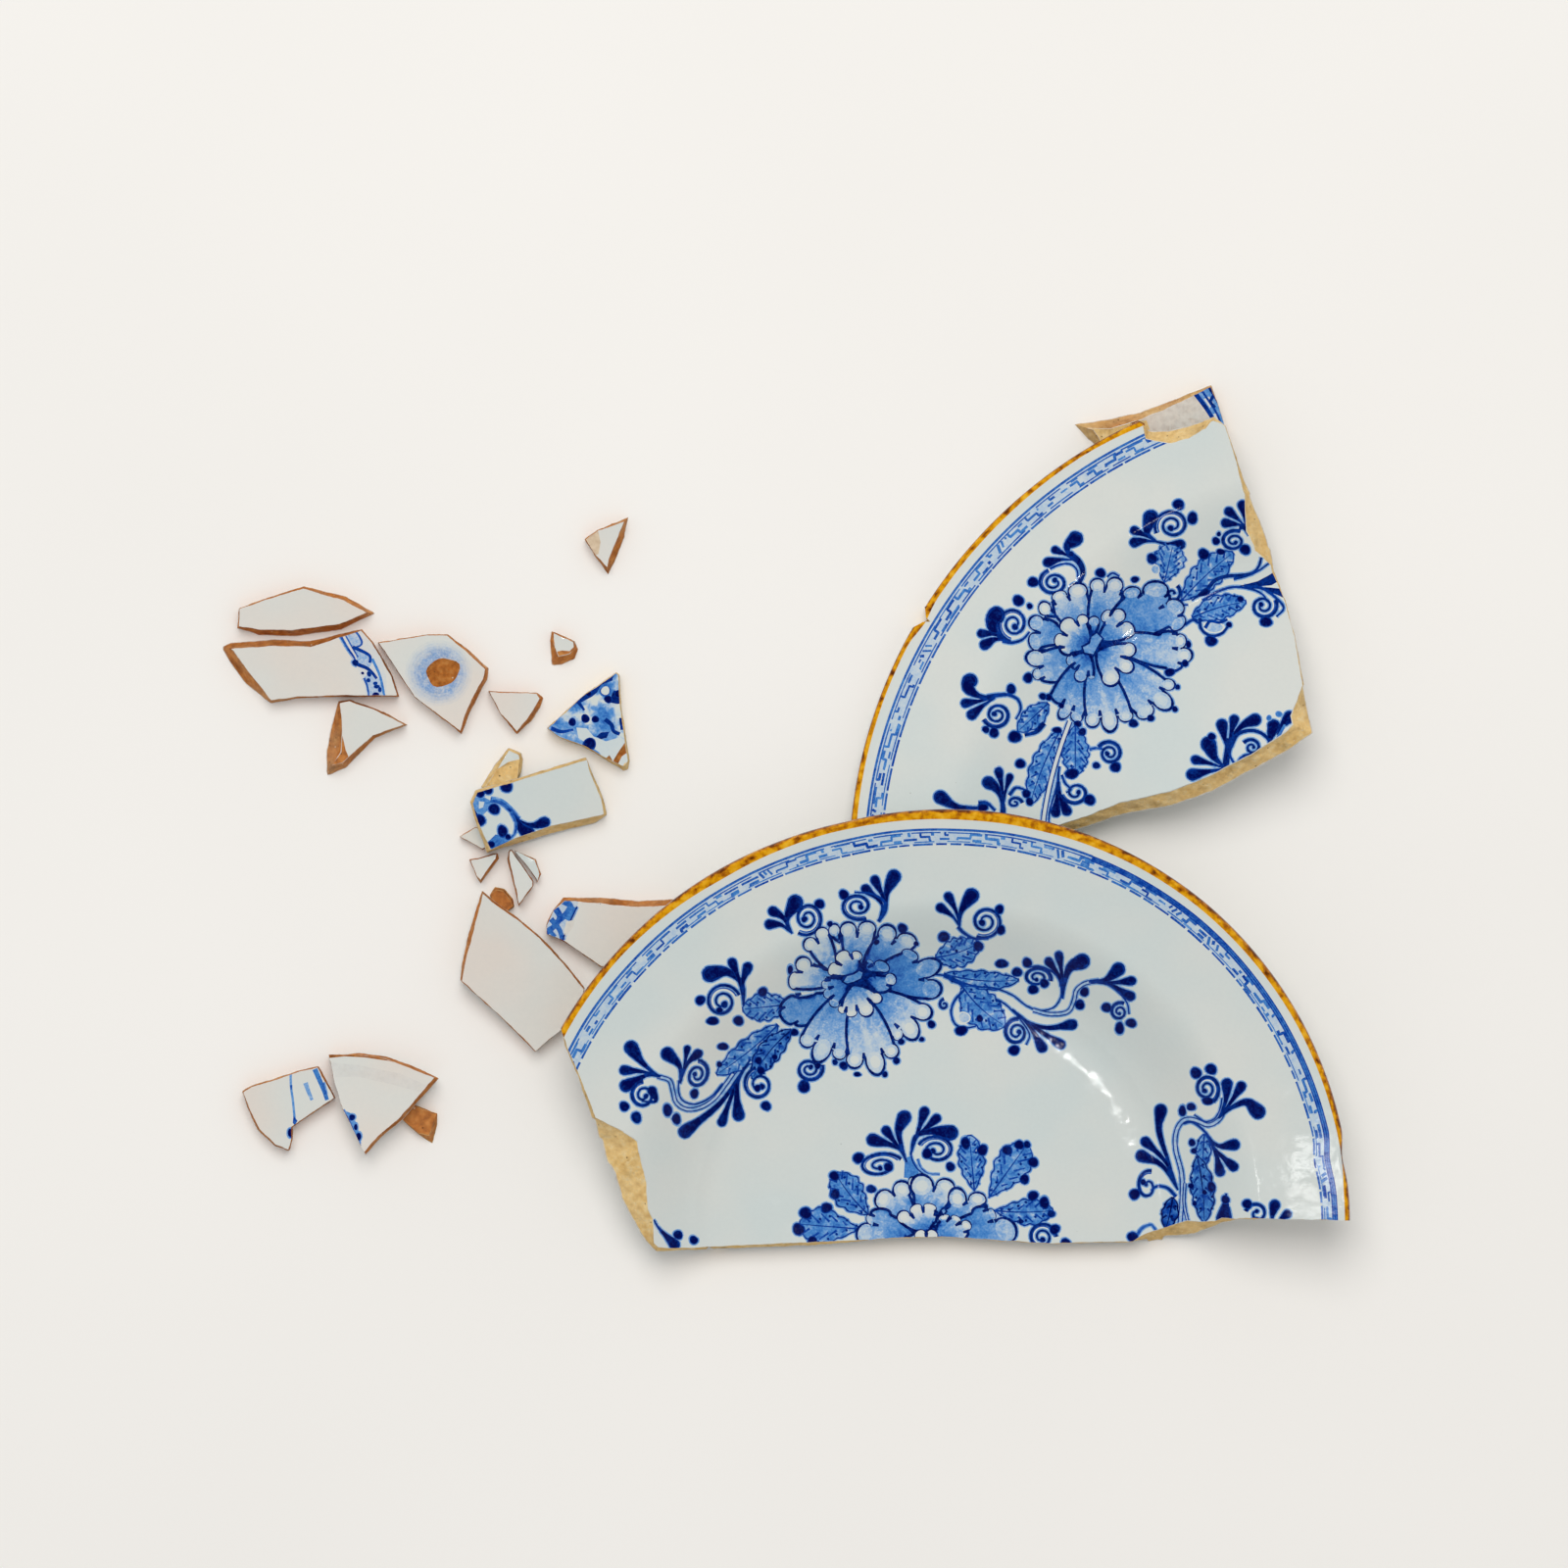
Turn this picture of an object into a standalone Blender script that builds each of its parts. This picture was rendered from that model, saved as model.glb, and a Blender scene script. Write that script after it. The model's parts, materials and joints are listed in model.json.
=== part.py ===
"""A tin-glazed earthenware plate broken into twenty-three pieces, lying on a table where they fell.

Two large sherds keep their stretch of rim and are cut from a turned plate. The rest are small
enough to be flat: each is a slab between its broken outline on the back and the one on the front.
Lengths are in millimetres and become metres as a mesh is made. X and Y run across the table and Z is
up. An outline is a list of (x, y, set_back), anticlockwise or clockwise: a corner of the break at
its foot, and how far the front edge stands back from that corner, which leaves the body showing.
"""

import math

import bmesh
import bpy
from mathutils import Matrix, Vector
from mathutils.bvhtree import BVHTree

MM = 0.001
GAP = 0.3  # air left between two pieces that touch

# The plate's section, measured inwards from the outer edge of its rim
RIM_RADIUS = 120.0
PLATE_HEIGHT = 24.0
WALL = 4.8
LIP_ROUND = 1.4
LIP_ANGLES = (60, 30, 0, -30, -60)
FLANGE_FALL_PER_MM = 0.16
FLANGE_STOPS = (16.0, 8.0)
CAVETTO_START = 26.0
CAVETTO_WIDTH = 30.0
WELL_LEVEL = 6.4  # front of the well above the table
FOOT_OUTSIDE = 53.5
FOOT_WIDTH = 5.0
FOOT_EDGE = 0.5
FOOT_RISE = 1.6  # hollow of the base inside and outside the foot ring
TURN_STEPS = 96
SECTION_STEP = 3.0
SHARP_ANGLE = 30.0
GLAZE_ROUGHNESS = 0.25

# How a break is cut through the plate
MITRE_LIMIT = 0.35
CUTTER_REACH = 90.0
RIM_CLEARANCE = 6.0  # the cutter stands this far outside the lip that it leaves whole
OVERSHOOT_BELOW = 0.5
OVERSHOOT_ABOVE = 1.5
THICKEST_CUT = 3 * WALL  # a ray through more than this has run along the foot or the lip

# How a sherd is laid to rest
FAR = 500.0
UP, DOWN = Vector((0, 0, 1)), Vector((0, 0, -1))
SLOPE_STEP = 0.2
SLOPE_FINEST = 1e-5
SLOPE_DIRECTIONS = 16
SETTLE_PASSES = 4

# The lower sherd lies flat on its foot ring
LOWER_CENTRE = (44.0, -117.0)
LOWER_BREAK = [
    (-110.5, 66.0, 0.4), (-105.5, 50.0, 0.5), (-102.0, 41.5, 0.6), (-98.5, 29.5, 1.0),
    (-97.0, 24.0, 7.0), (-95.0, 17.0, 9.5), (-91.5, 8.0, 8.0), (-87.0, -2.0, 5.5),
    (-81.5, -9.0, 1.4),
    (-67.0, -8.5, 0.8), (-36.5, -7.5, 1.2), (-13.5, -5.5, 0.4), (2.0, -5.0, 0.3),
    (17.0, -6.0, 0.3), (32.5, -7.0, 0.3), (57.0, -6.5, 0.5), (64.0, -6.0, 3.2),
    (74.0, -4.0, 4.2), (83.0, -0.5, 1.5), (87.5, 0.5, 0.4), (126.0, 0.5, 0.4),
]

# The upper sherd has tipped over towards its rim, whose curve is a little gentler
UPPER_RADIUS = 136.0
UPPER_CENTRE = (155.5, -11.0)
UPPER_TIP_TOWARDS = 144.0  # degrees from +X
UPPER_TIP = 19.0
UPPER_BREAK = [
    (98.5, 117.5, 0.5), (105.5, 112.5, 2.5), (111.5, 112.5, 4.0), (116.0, 113.5, 3.8),
    (121.0, 115.0, 2.5), (124.5, 116.5, 1.2), (128.0, 113.5, 0.4), (131.5, 103.0, 0.5),
    (135.0, 94.0, 1.6), (138.5, 84.5, 4.8), (140.5, 78.5, 4.2), (142.0, 71.5, 0.6),
    (145.0, 63.5, 0.3), (148.0, 52.5, 0.3), (150.5, 38.5, 0.6), (153.0, 24.5, 5.5),
    (146.0, 19.5, 5.0), (135.0, 13.5, 4.3), (124.0, 7.5, 4.6), (112.5, 3.5, 4.3),
    (98.5, 1.0, 3.6), (85.0, -3.5, 3.0), (71.0, -6.0, 2.0), (52.5, -7.5, 1.0),
    (35.5, -6.5, 1.0), (12.0, -4.5, 0.5),
]
UPPER_RIM_CHIP = [(36.0, 54.5, 0.8), (41.0, 57.5, 1.0), (40.5, 62.5, 0.8)]

# Flat sherds: centre on the table, thickness, outline about the centre, and the pieces it lies on.
# Each one follows the pieces below it in the list.
FLAT_SHERDS = {
    "lens_sherd": ((-139.0, 60.5), 4.8, [
        (-1, 7, 0.8), (11.5, 4, 1.5), (20, -1, 1.2), (10, -6, 1.7), (-4, -8, 1.9),
        (-14, -7.5, 1.6), (-20.5, -5.5, 0.8), (-20, 0.5, 0.5), (-12, 3.5, 0.6)], ()),
    "scroll_band_sherd": ((-138.0, 44.0), 5.0, [
        (-26, 5.5, 3), (-23.5, 7, 2), (-10.5, 8, 2), (0, 7.5, 1.8), (8, 9.5, 1.2),
        (15, 11, 0.5), (18.5, 7, 0.4), (24, -2.5, 0.4), (26, -9, 0.5), (9, -9, 0.5),
        (-4, -9.5, 0.5), (-11.5, -11, 1), (-19, -5, 3), (-23.5, 1, 3)], ()),
    "spalled_triangle_sherd": ((-121.5, 23.0), 4.8, [
        (-8.5, 11, 0.8), (-5, 11.5, 0.5), (3.5, 8.5, 0.5), (12, 4, 0.5), (2.5, 0, 1),
        (-6, -8.5, 1.8), (-11.5, -11, 2.4), (-12, -9.5, 2.8), (-12, -3.5, 4.5), (-10.5, 4, 3.5)], ()),
    "ring_mark_sherd": ((-102.0, 39.0), 5.0, [
        (-16.5, 12, 0.3), (-11, 13, 0.4), (-2, 14.5, 0.4), (4, 14.5, 0.5), (10, 10, 0.8),
        (16, 4.5, 1), (15.5, 1, 1.2), (11, -7.5, 1.2), (8, -15, 0.8), (2.5, -10.5, 0.3),
        (-6, -4, 0.3), (-11.5, 4.5, 0.3)], ()),
    "fan_sherd": ((-78.5, 30.5), 4.4, [
        (-8, 6.5, 0.4), (6.5, 6, 0.4), (8.5, 4.5, 1), (7.5, 1.5, 1.5), (5, -2.5, 1.5),
        (0.5, -6.5, 0.8), (-4.5, -0.5, 0.4)], ()),
    "stained_triangle_sherd": ((-52.0, 79.0), 4.4, [
        (-6.5, 2, 0.4), (-2.5, 5, 0.5), (6.5, 8.5, 1), (5.5, 2.5, 2), (2.5, -5, 2),
        (0.5, -8.5, 1.2), (-3.5, -3, 0.5)], ()),
    "chip_sherd": ((-64.5, 49.5), 4.0, [
        (-3.5, 5, 0.4), (3.5, 2, 0.6), (4.5, -0.5, 1.2), (3.5, -3.5, 2.2), (0, -5, 2.6),
        (-3.5, -5.5, 2.4), (-4, 2, 0.8)], ()),
    "blue_painted_sherd": ((-57.0, 28.0), 4.8, [
        (-12.5, -2, 0.3), (-1.5, 8, 0.3), (8, 14.5, 0.4), (9, 13.5, 0.4), (9.5, 4.5, 0.4),
        (12, -11.5, 0.6), (11.5, -14, 1.2), (10, -14.5, 1.2), (3.5, -10.5, 0.5),
        (-1.5, -7.5, 0.4), (-8.5, -5, 0.3)], ()),
    "rough_top_chip": ((-82.0, 13.5), 3.8, [
        (1.5, 7, 0.8), (5.5, 5.5, 1), (6, 3.5, 1), (5.5, 0, 0.8), (4.5, -3.5, 0.5),
        (-0.5, -6, 0.5), (-5, -6, 0.5), (-6.5, -4.5, 1.2), (-2.5, 2, 1.4)], ()),
    "tucked_corner_chip": ((-90.0, -6.0), 3.2, [
        (-5, 0.5, 0.3), (0, 3.5, 0.3), (5, 2, 0.5), (5, -2, 0.5), (2, -3.5, 0.4)], ()),
    "leaf_scroll_sherd": ((-71.0, 4.5), 5.0, [
        (-20.5, 0, 0.3), (-19, 3.5, 0.3), (-6.5, 7, 0.3), (3.5, 10, 0.3), (13.5, 13, 0.4),
        (15, 9.5, 1), (18.5, 1.5, 1), (20, -4, 1.5), (16.5, -6.5, 2.6), (3.5, -9.5, 2.8),
        (-6.5, -12.5, 2.4), (-15.5, -15, 1.2), (-19, -5.5, 0.3)],
        ("rough_top_chip", "tucked_corner_chip")),
    "small_triangle_sherd": ((-87.5, -14.5), 4.0, [
        (-4.5, 2.5, 0.4), (-1.5, 3, 0.4), (4, 4.5, 0.4), (4.5, 2.5, 1), (-1, -5, 0.8),
        (-2.5, -2.5, 0.4)], ()),
    "tall_triangle_sherd": ((-76.5, -17.5), 4.4, [
        (-4, 8, 0.5), (-3, 8.5, 0.3), (3.5, -1, 0.2), (3.5, -2.5, 0.3), (-1, -8.5, 0.4),
        (-4.5, 5.5, 0.8)], ()),
    "grey_corner_chip": ((-74.8, -14.4), 3.2, [
        (-4, 5, 0.2), (2.5, 2.5, 0.4), (4, -2, 0.5), (2.5, -5, 0.4), (2.5, -3.5, 0.2)], ()),
    "clay_chip_under_tip": ((-82.0, -24.0), 2.8, [
        (-4, 1.5, 0.5), (-2.5, 4, 0.8), (0.5, 3.5, 0.8), (3, 0.5, 0.8), (3.5, -2, 0.5),
        (0.5, -4, 0.3), (-3, -2, 0.3)], ()),
    "plain_pentagon_sherd": ((-76.5, -45.0), 5.0, [
        (-11.5, 24, 0.4), (-7.5, 20.5, 0.4), (-1, 16, 0.4), (5.5, 10.5, 0.4), (12.5, 3, 0.4),
        (18.5, -4.5, 0.4), (17, -11.5, 0.4), (12, -16.5, 0.4), (4, -23.5, 0.6),
        (-7.5, -12, 0.5), (-18, -2.5, 0.6), (-17.5, 2.5, 0.8), (-16, 9.5, 1.1),
        (-13.5, 18, 0.8)], ("clay_chip_under_tip",)),
    "blue_end_sherd": ((-49.0, -33.5), 4.8, [
        (-20.5, 2.5, 0.3), (-18.5, 7, 0.4), (-15.5, 10.5, 1), (-4.5, 10.5, 1.8),
        (6.5, 9.5, 2), (17, 10, 1.8), (21, 5, 0.5), (13.5, -4.5, 0.4), (3, -10, 0.4),
        (-4.5, -10, 0.3), (-15.5, -2.5, 0.3), (-20.5, -0.5, 0.3)], ()),
    "ridged_sherd": ((-144.0, -84.5), 4.8, [
        (-14, 5, 0.5), (-11, 7, 0.6), (-5.5, 8.5, 0.5), (2, 11, 0.4), (8.5, 12.5, 0.4),
        (13.5, 3, 0.3), (7, -1.5, 0.4), (1, -5.5, 0.3), (1, -9, 0.3), (0, -12.5, 0.4),
        (-4.5, -11, 0.7), (-9.5, -6.5, 0.9), (-12.5, 0, 0.8)], ()),
    "clay_chip_by_rim": ((-107.0, -89.0), 3.0, [
        (-6, 2.5, 0.3), (-1.5, 6, 0.3), (6, 3, 0.4), (6, -0.5, 1.2), (4.5, -6, 1.6),
        (0, -3, 0.5)], ()),
    "rim_triangle_sherd": ((-116.5, -83.0), 4.8, [
        (-16.5, 14.5, 0.4), (-6.5, 15, 1), (0.5, 14, 1), (7.5, 11.5, 1.1), (16, 7.5, 0.6),
        (5.5, -4.5, 0.4), (-1, -10, 0.4), (-5.5, -15, 0.3), (-12, -2, 0.3), (-14.5, 5.5, 0.3)],
        ("clay_chip_by_rim",)),
    "dirty_band_sherd": ((106.5, 112.0), 4.8, [
        (-22.5, 2.5, 2), (-12.5, 4, 3), (-3.5, 6, 2.2), (6, 9.5, 1.6), (17.5, 14, 0.6),
        (19.5, 8.5, 0.3), (22, 0.5, 0.3), (21.5, -9.5, 0.5), (11.5, -14, 0.5),
        (-3, -10.5, 0.5), (-14, -6, 1), (-19, -1.5, 3)], ()),
}

GLAZE_WHITE = (0.60, 0.65, 0.65)
GLAZE_WARM = (0.66, 0.62, 0.56)
BARE_CLAY = (0.42, 0.16, 0.05)
BLUE_WASH = (0.10, 0.22, 0.55)


def smooth_step(t):
    t = min(max(t, 0.0), 1.0)
    return t * t * (3.0 - 2.0 * t)


def front_height(inward):
    """Height of the plate's front above its foot, at a distance inwards from the rim's edge."""
    flange = PLATE_HEIGHT - FLANGE_FALL_PER_MM * inward
    drop = smooth_step((inward - CAVETTO_START) / CAVETTO_WIDTH)
    return flange + (WELL_LEVEL - flange) * drop


def back_height(inward):
    """Height of the back: a wall's thickness below the front, measured across the slope."""
    step = 0.5
    slope = (front_height(inward + step) - front_height(inward - step)) / (2 * step)
    return front_height(inward) - WALL * math.hypot(1.0, slope)


def plate_section(radius):
    """The closed section from the middle of the front, round the lip, to the middle of the back."""
    stops = int((radius - FOOT_OUTSIDE) / (4 * SECTION_STEP))
    well = [FOOT_OUTSIDE + (radius - FOOT_OUTSIDE) * i / stops for i in range(stops, 0, -1)]
    rises = round(CAVETTO_WIDTH / SECTION_STEP)
    slope = [CAVETTO_START + SECTION_STEP * i for i in range(rises, -1, -1)]
    flange = [*FLANGE_STOPS, LIP_ROUND]
    front = [(radius - d, front_height(d)) for d in well + slope + flange]
    lip_middle = (front_height(LIP_ROUND) + back_height(LIP_ROUND)) / 2
    lip_half = (front_height(LIP_ROUND) - back_height(LIP_ROUND)) / 2
    lip = []
    for degrees in LIP_ANGLES:
        turn = math.radians(degrees)
        out = radius - LIP_ROUND * (1 - math.cos(turn))
        lip.append((out, lip_middle + lip_half * math.sin(turn)))
    back = [(radius - d, back_height(d)) for d in reversed(slope[1:] + flange)]
    foot_outer = radius - FOOT_OUTSIDE
    foot_inner = foot_outer - FOOT_WIDTH
    foot = [(foot_outer, FOOT_RISE), (foot_outer - FOOT_EDGE, 0.0),
            (foot_inner + FOOT_EDGE, 0.0), (foot_inner, FOOT_RISE), (0.0, FOOT_RISE)]
    return front + lip + back + foot


def link(name, bm, colour):
    """A named object from the bmesh, in metres, with its own plain material."""
    bmesh.ops.recalc_face_normals(bm, faces=bm.faces)
    bmesh.ops.scale(bm, vec=(MM, MM, MM), verts=bm.verts)
    mesh = bpy.data.meshes.new(name)
    bm.to_mesh(mesh)
    bm.free()
    material = bpy.data.materials.new(name)
    material.use_nodes = True
    shader = material.node_tree.nodes["Principled BSDF"]
    shader.inputs["Base Color"].default_value = (*colour, 1.0)
    shader.inputs["Roughness"].default_value = GLAZE_ROUGHNESS
    mesh.materials.append(material)
    obj = bpy.data.objects.new(name, mesh)
    bpy.context.collection.objects.link(obj)
    return obj


def turned_plate(name, radius, colour):
    """The whole plate, turned about Z with its foot on Z = 0."""
    bm = bmesh.new()
    section = [bm.verts.new((r, 0.0, z)) for r, z in plate_section(radius)]
    edges = [bm.edges.new(pair) for pair in zip(section, section[1:])]
    bmesh.ops.spin(bm, geom=section + edges, axis=(0, 0, 1), cent=(0, 0, 0),
                   angle=2 * math.pi, steps=TURN_STEPS)
    bmesh.ops.remove_doubles(bm, verts=bm.verts, dist=1e-3)
    obj = link(name, bm, colour)
    obj.data.shade_smooth()
    obj.data.set_sharp_from_angle(angle=math.radians(SHARP_ANGLE))
    return obj


def inset_corners(outline, distance_of):
    """The outline's corners moved inwards, each by its own distance, along the mitre of its two sides."""
    count = len(outline)
    area = sum(outline[i - 1][0] * outline[i][1] - outline[i][0] * outline[i - 1][1]
               for i in range(count))
    facing = 1.0 if area > 0 else -1.0
    corners = []
    for i, corner in enumerate(outline):
        here = Vector(corner[:2])
        before = (here - Vector(outline[i - 1][:2])).normalized()
        after = (Vector(outline[(i + 1) % count][:2]) - here).normalized()
        inward = [Vector((-side.y, side.x)) * facing for side in (before, after)]
        mitre = (inward[0] + inward[1]) / max(1.0 + inward[0].dot(inward[1]), MITRE_LIMIT)
        corners.append(here + mitre * distance_of(corner))
    return corners


def ring_solid(bm, rings):
    """Closes a stack of rings of corners, lowest first, into one solid."""
    layers = [[bm.verts.new(point) for point in ring] for ring in rings]
    bm.faces.new(layers[0])
    bm.faces.new(layers[-1])
    count = len(layers[0])
    for low, high in zip(layers, layers[1:]):
        for i in range(count):
            bm.faces.new((low[i - 1], low[i], high[i], high[i - 1]))


def flat_sherd(name, centre, thickness, outline, colour):
    """A slab between the foot of its break on the table and the front edge above it."""
    front = inset_corners(outline, lambda corner: corner[2])
    bm = bmesh.new()
    ring_solid(bm, [[(x, y, 0.0) for x, y, _ in outline],
                    [(corner.x, corner.y, thickness) for corner in front]])
    obj = link(name, bm, colour)
    obj.location = (centre[0] * MM, centre[1] * MM, 0.0)
    return obj


def world_shape(obj):
    """Corners in world millimetres and a tree for casting rays, with modifiers and parents applied."""
    bpy.context.view_layer.update()
    evaluated = obj.evaluated_get(bpy.context.evaluated_depsgraph_get())
    mesh = evaluated.to_mesh()
    place = evaluated.matrix_world
    corners = [place @ vertex.co / MM for vertex in mesh.vertices]
    tree = BVHTree.FromPolygons(corners, [tuple(face.vertices) for face in mesh.polygons])
    volume, centre = 0.0, Vector()
    mesh.calc_loop_triangles()
    for triangle in mesh.loop_triangles:
        a, b, c = (corners[i] for i in triangle.vertices)
        part = a.dot(b.cross(c)) / 6
        volume += part
        centre += part * (a + b + c) / 4
    evaluated.to_mesh_clear()
    return corners, tree, centre / volume


def height_under(tree, x, y):
    hit = tree.ray_cast(Vector((x, y, -FAR)), UP)[0]
    return None if hit is None else hit.z


def height_over(tree, x, y):
    hit = tree.ray_cast(Vector((x, y, FAR)), DOWN)[0]
    return None if hit is None else hit.z


def fracture_cutter(name, outline, centre, plate):
    """A closed prism whose sides follow the break: upright, but slanting where they cross the wall."""
    tree = world_shape(plate)[1]
    front = inset_corners(outline, lambda corner: corner[2])
    rings = [[], [], [], []]
    for (x, y, _), edge in zip(outline, front):
        foot = Vector((x + centre[0], y + centre[1]))
        top = edge + Vector(centre)
        low = height_under(tree, *foot)
        high = height_over(tree, *top)
        if low is None or high is None or high - low > THICKEST_CUT:
            low, high = 0.0, WALL
            top = foot
        lean = (top - foot) / (high - low)
        foot -= lean * OVERSHOOT_BELOW
        top += lean * OVERSHOOT_ABOVE
        rings[0].append((*foot, -CUTTER_REACH))
        rings[1].append((*foot, low - OVERSHOOT_BELOW))
        rings[2].append((*top, high + OVERSHOOT_ABOVE))
        rings[3].append((*top, CUTTER_REACH))
    bm = bmesh.new()
    ring_solid(bm, rings)
    cutter = link(name, bm, BARE_CLAY)
    cutter.hide_render = True
    cutter.display_type = "WIRE"
    return cutter


def outside_rim(centre, radius, start, end, steps):
    """Corners just outside the rim, so that the turned lip itself bounds the sherd."""
    reach = radius + RIM_CLEARANCE
    corners = []
    for i in range(steps + 1):
        turn = math.radians(start + (end - start) * i / steps)
        corners.append((centre[0] + reach * math.cos(turn), centre[1] + reach * math.sin(turn), 0.0))
    return corners


def keep_inside(plate, cutter, pose):
    """Leaves only the part of the plate inside the cutter, and hangs both on one pose."""
    boolean = plate.modifiers.new("fracture", "BOOLEAN")
    boolean.operation = "INTERSECT"
    boolean.solver = "EXACT"
    boolean.object = cutter
    for obj in (plate, cutter):
        obj.parent = pose
        obj.matrix_parent_inverse = pose.matrix_world.inverted()


def lowest_slope(reach):
    """The plane through (0, 0) whose middle is lowest while it clears every (x, y, height)."""
    def middle(slope):
        return max(height - slope[0] * x - slope[1] * y for x, y, height in reach)

    best, step = (0.0, 0.0), SLOPE_STEP
    lowest = middle(best)
    while step > SLOPE_FINEST:
        tries = []
        for i in range(SLOPE_DIRECTIONS):
            turn = math.tau * i / SLOPE_DIRECTIONS
            tries.append((best[0] + step * math.cos(turn), best[1] + step * math.sin(turn)))
        found = min(tries, key=middle)
        if middle(found) < lowest:
            best, lowest = found, middle(found)
        else:
            step *= 0.6
    return best, lowest


def settle(obj, mover, below, spacing=1.5):
    """Lays a sherd on the table and on the pieces below it, with its weight as low as it can get."""
    trees = [world_shape(piece) for piece in below]
    for _ in range(SETTLE_PASSES):
        corners, tree, middle = world_shape(obj)
        plan = [(c.x, c.y, c.z) for c in corners]
        xs, ys = [c.x for c in corners], [c.y for c in corners]
        across = [min(xs) + spacing * i for i in range(int((max(xs) - min(xs)) / spacing) + 1)]
        along = [min(ys) + spacing * i for i in range(int((max(ys) - min(ys)) / spacing) + 1)]
        places = [(x, y) for x in across for y in along] if below else []
        for lower in trees:
            places += [(c.x, c.y) for c in lower[0]]
        for x, y in places:
            under = height_under(tree, x, y)
            if under is not None:
                plan.append((x, y, under))
        reach = []
        for x, y, under in plan:
            support = 0.0
            for lower in trees:
                top = height_over(lower[1], x, y)
                if top is not None:
                    support = max(support, top + GAP)
            reach.append((x - middle.x, y - middle.y, support - under))
        slope, lift = lowest_slope(reach)
        tilt = UP.rotation_difference(Vector((-slope[0], -slope[1], 1))).to_matrix().to_4x4()
        about = Matrix.Translation(middle * MM)
        move = Matrix.Translation((0, 0, lift * MM)) @ about @ tilt @ about.inverted()
        mover.matrix_world = move @ mover.matrix_world
    stand_clear(obj, mover, trees)


def stand_clear(obj, mover, trees):
    """Ends with the lowest corner exactly on the table where nothing else holds the sherd up."""
    corners = world_shape(obj)[0]
    lowest = min(c.z for c in corners)
    if lowest < 0.0 or not trees:
        mover.matrix_world = Matrix.Translation((0, 0, -lowest * MM)) @ mover.matrix_world


def lower_sherd():
    """The larger half, face up on its foot ring."""
    plate = turned_plate("lower_half_sherd", RIM_RADIUS, GLAZE_WHITE)
    plate.location = (LOWER_CENTRE[0] * MM, LOWER_CENTRE[1] * MM, 0.0)
    outline = LOWER_BREAK + outside_rim((0, 0), RIM_RADIUS, 2, 148, steps=12)
    cutter = fracture_cutter("lower_fracture", outline, LOWER_CENTRE, plate)
    pose = bpy.data.objects.new("lower_pose", None)
    bpy.context.collection.objects.link(pose)
    keep_inside(plate, cutter, pose)
    return plate


def upper_sherd(below):
    """The other rim sherd, tipped over towards its rim."""
    plate = turned_plate("upper_rim_sherd", UPPER_RADIUS, GLAZE_WHITE)
    towards = math.radians(UPPER_TIP_TOWARDS)
    axis = Vector((-math.sin(towards), math.cos(towards), 0))
    plate.matrix_world = (Matrix.Translation((UPPER_CENTRE[0] * MM, UPPER_CENTRE[1] * MM, 0))
                          @ Matrix.Rotation(math.radians(UPPER_TIP), 4, axis))
    first = outside_rim(UPPER_CENTRE, UPPER_RADIUS, 178, 150, steps=4)
    last = outside_rim(UPPER_CENTRE, UPPER_RADIUS, 144, 118, steps=4)
    outline = UPPER_BREAK + first + UPPER_RIM_CHIP + last
    cutter = fracture_cutter("upper_fracture", outline, (0, 0), plate)
    pose = bpy.data.objects.new("upper_pose", None)
    bpy.context.collection.objects.link(pose)
    keep_inside(plate, cutter, pose)
    settle(plate, pose, below, spacing=2.5)
    return plate


def flat_colour(name):
    if name.startswith("clay"):
        return BARE_CLAY
    return BLUE_WASH if name.startswith("blue") else GLAZE_WARM


def main():
    for obj in list(bpy.data.objects):
        bpy.data.objects.remove(obj)
    sherds = {}
    for name, (centre, thickness, outline, below) in FLAT_SHERDS.items():
        sherds[name] = flat_sherd(name, centre, thickness, outline, flat_colour(name))
        if below:
            settle(sherds[name], sherds[name], [sherds[under] for under in below])
    lower_sherd()
    upper_sherd([sherds["dirty_band_sherd"]])


main()
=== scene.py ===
"""Looks of a broken tin-glazed plate: fine sherds with their glaze, cobalt painting, ochre rim and breaks.

Shapes are worked out in millimetres and become metres as a mesh is made. A sherd is shaped in a
frame of its own, lying flat: a turned plate's with its axis on Z, or a slab's with its back on Z = 0.
The painting is laid out on the table as it is seen from above, in the shared frame, and is pushed
down onto each sherd's front from there.
"""

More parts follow.
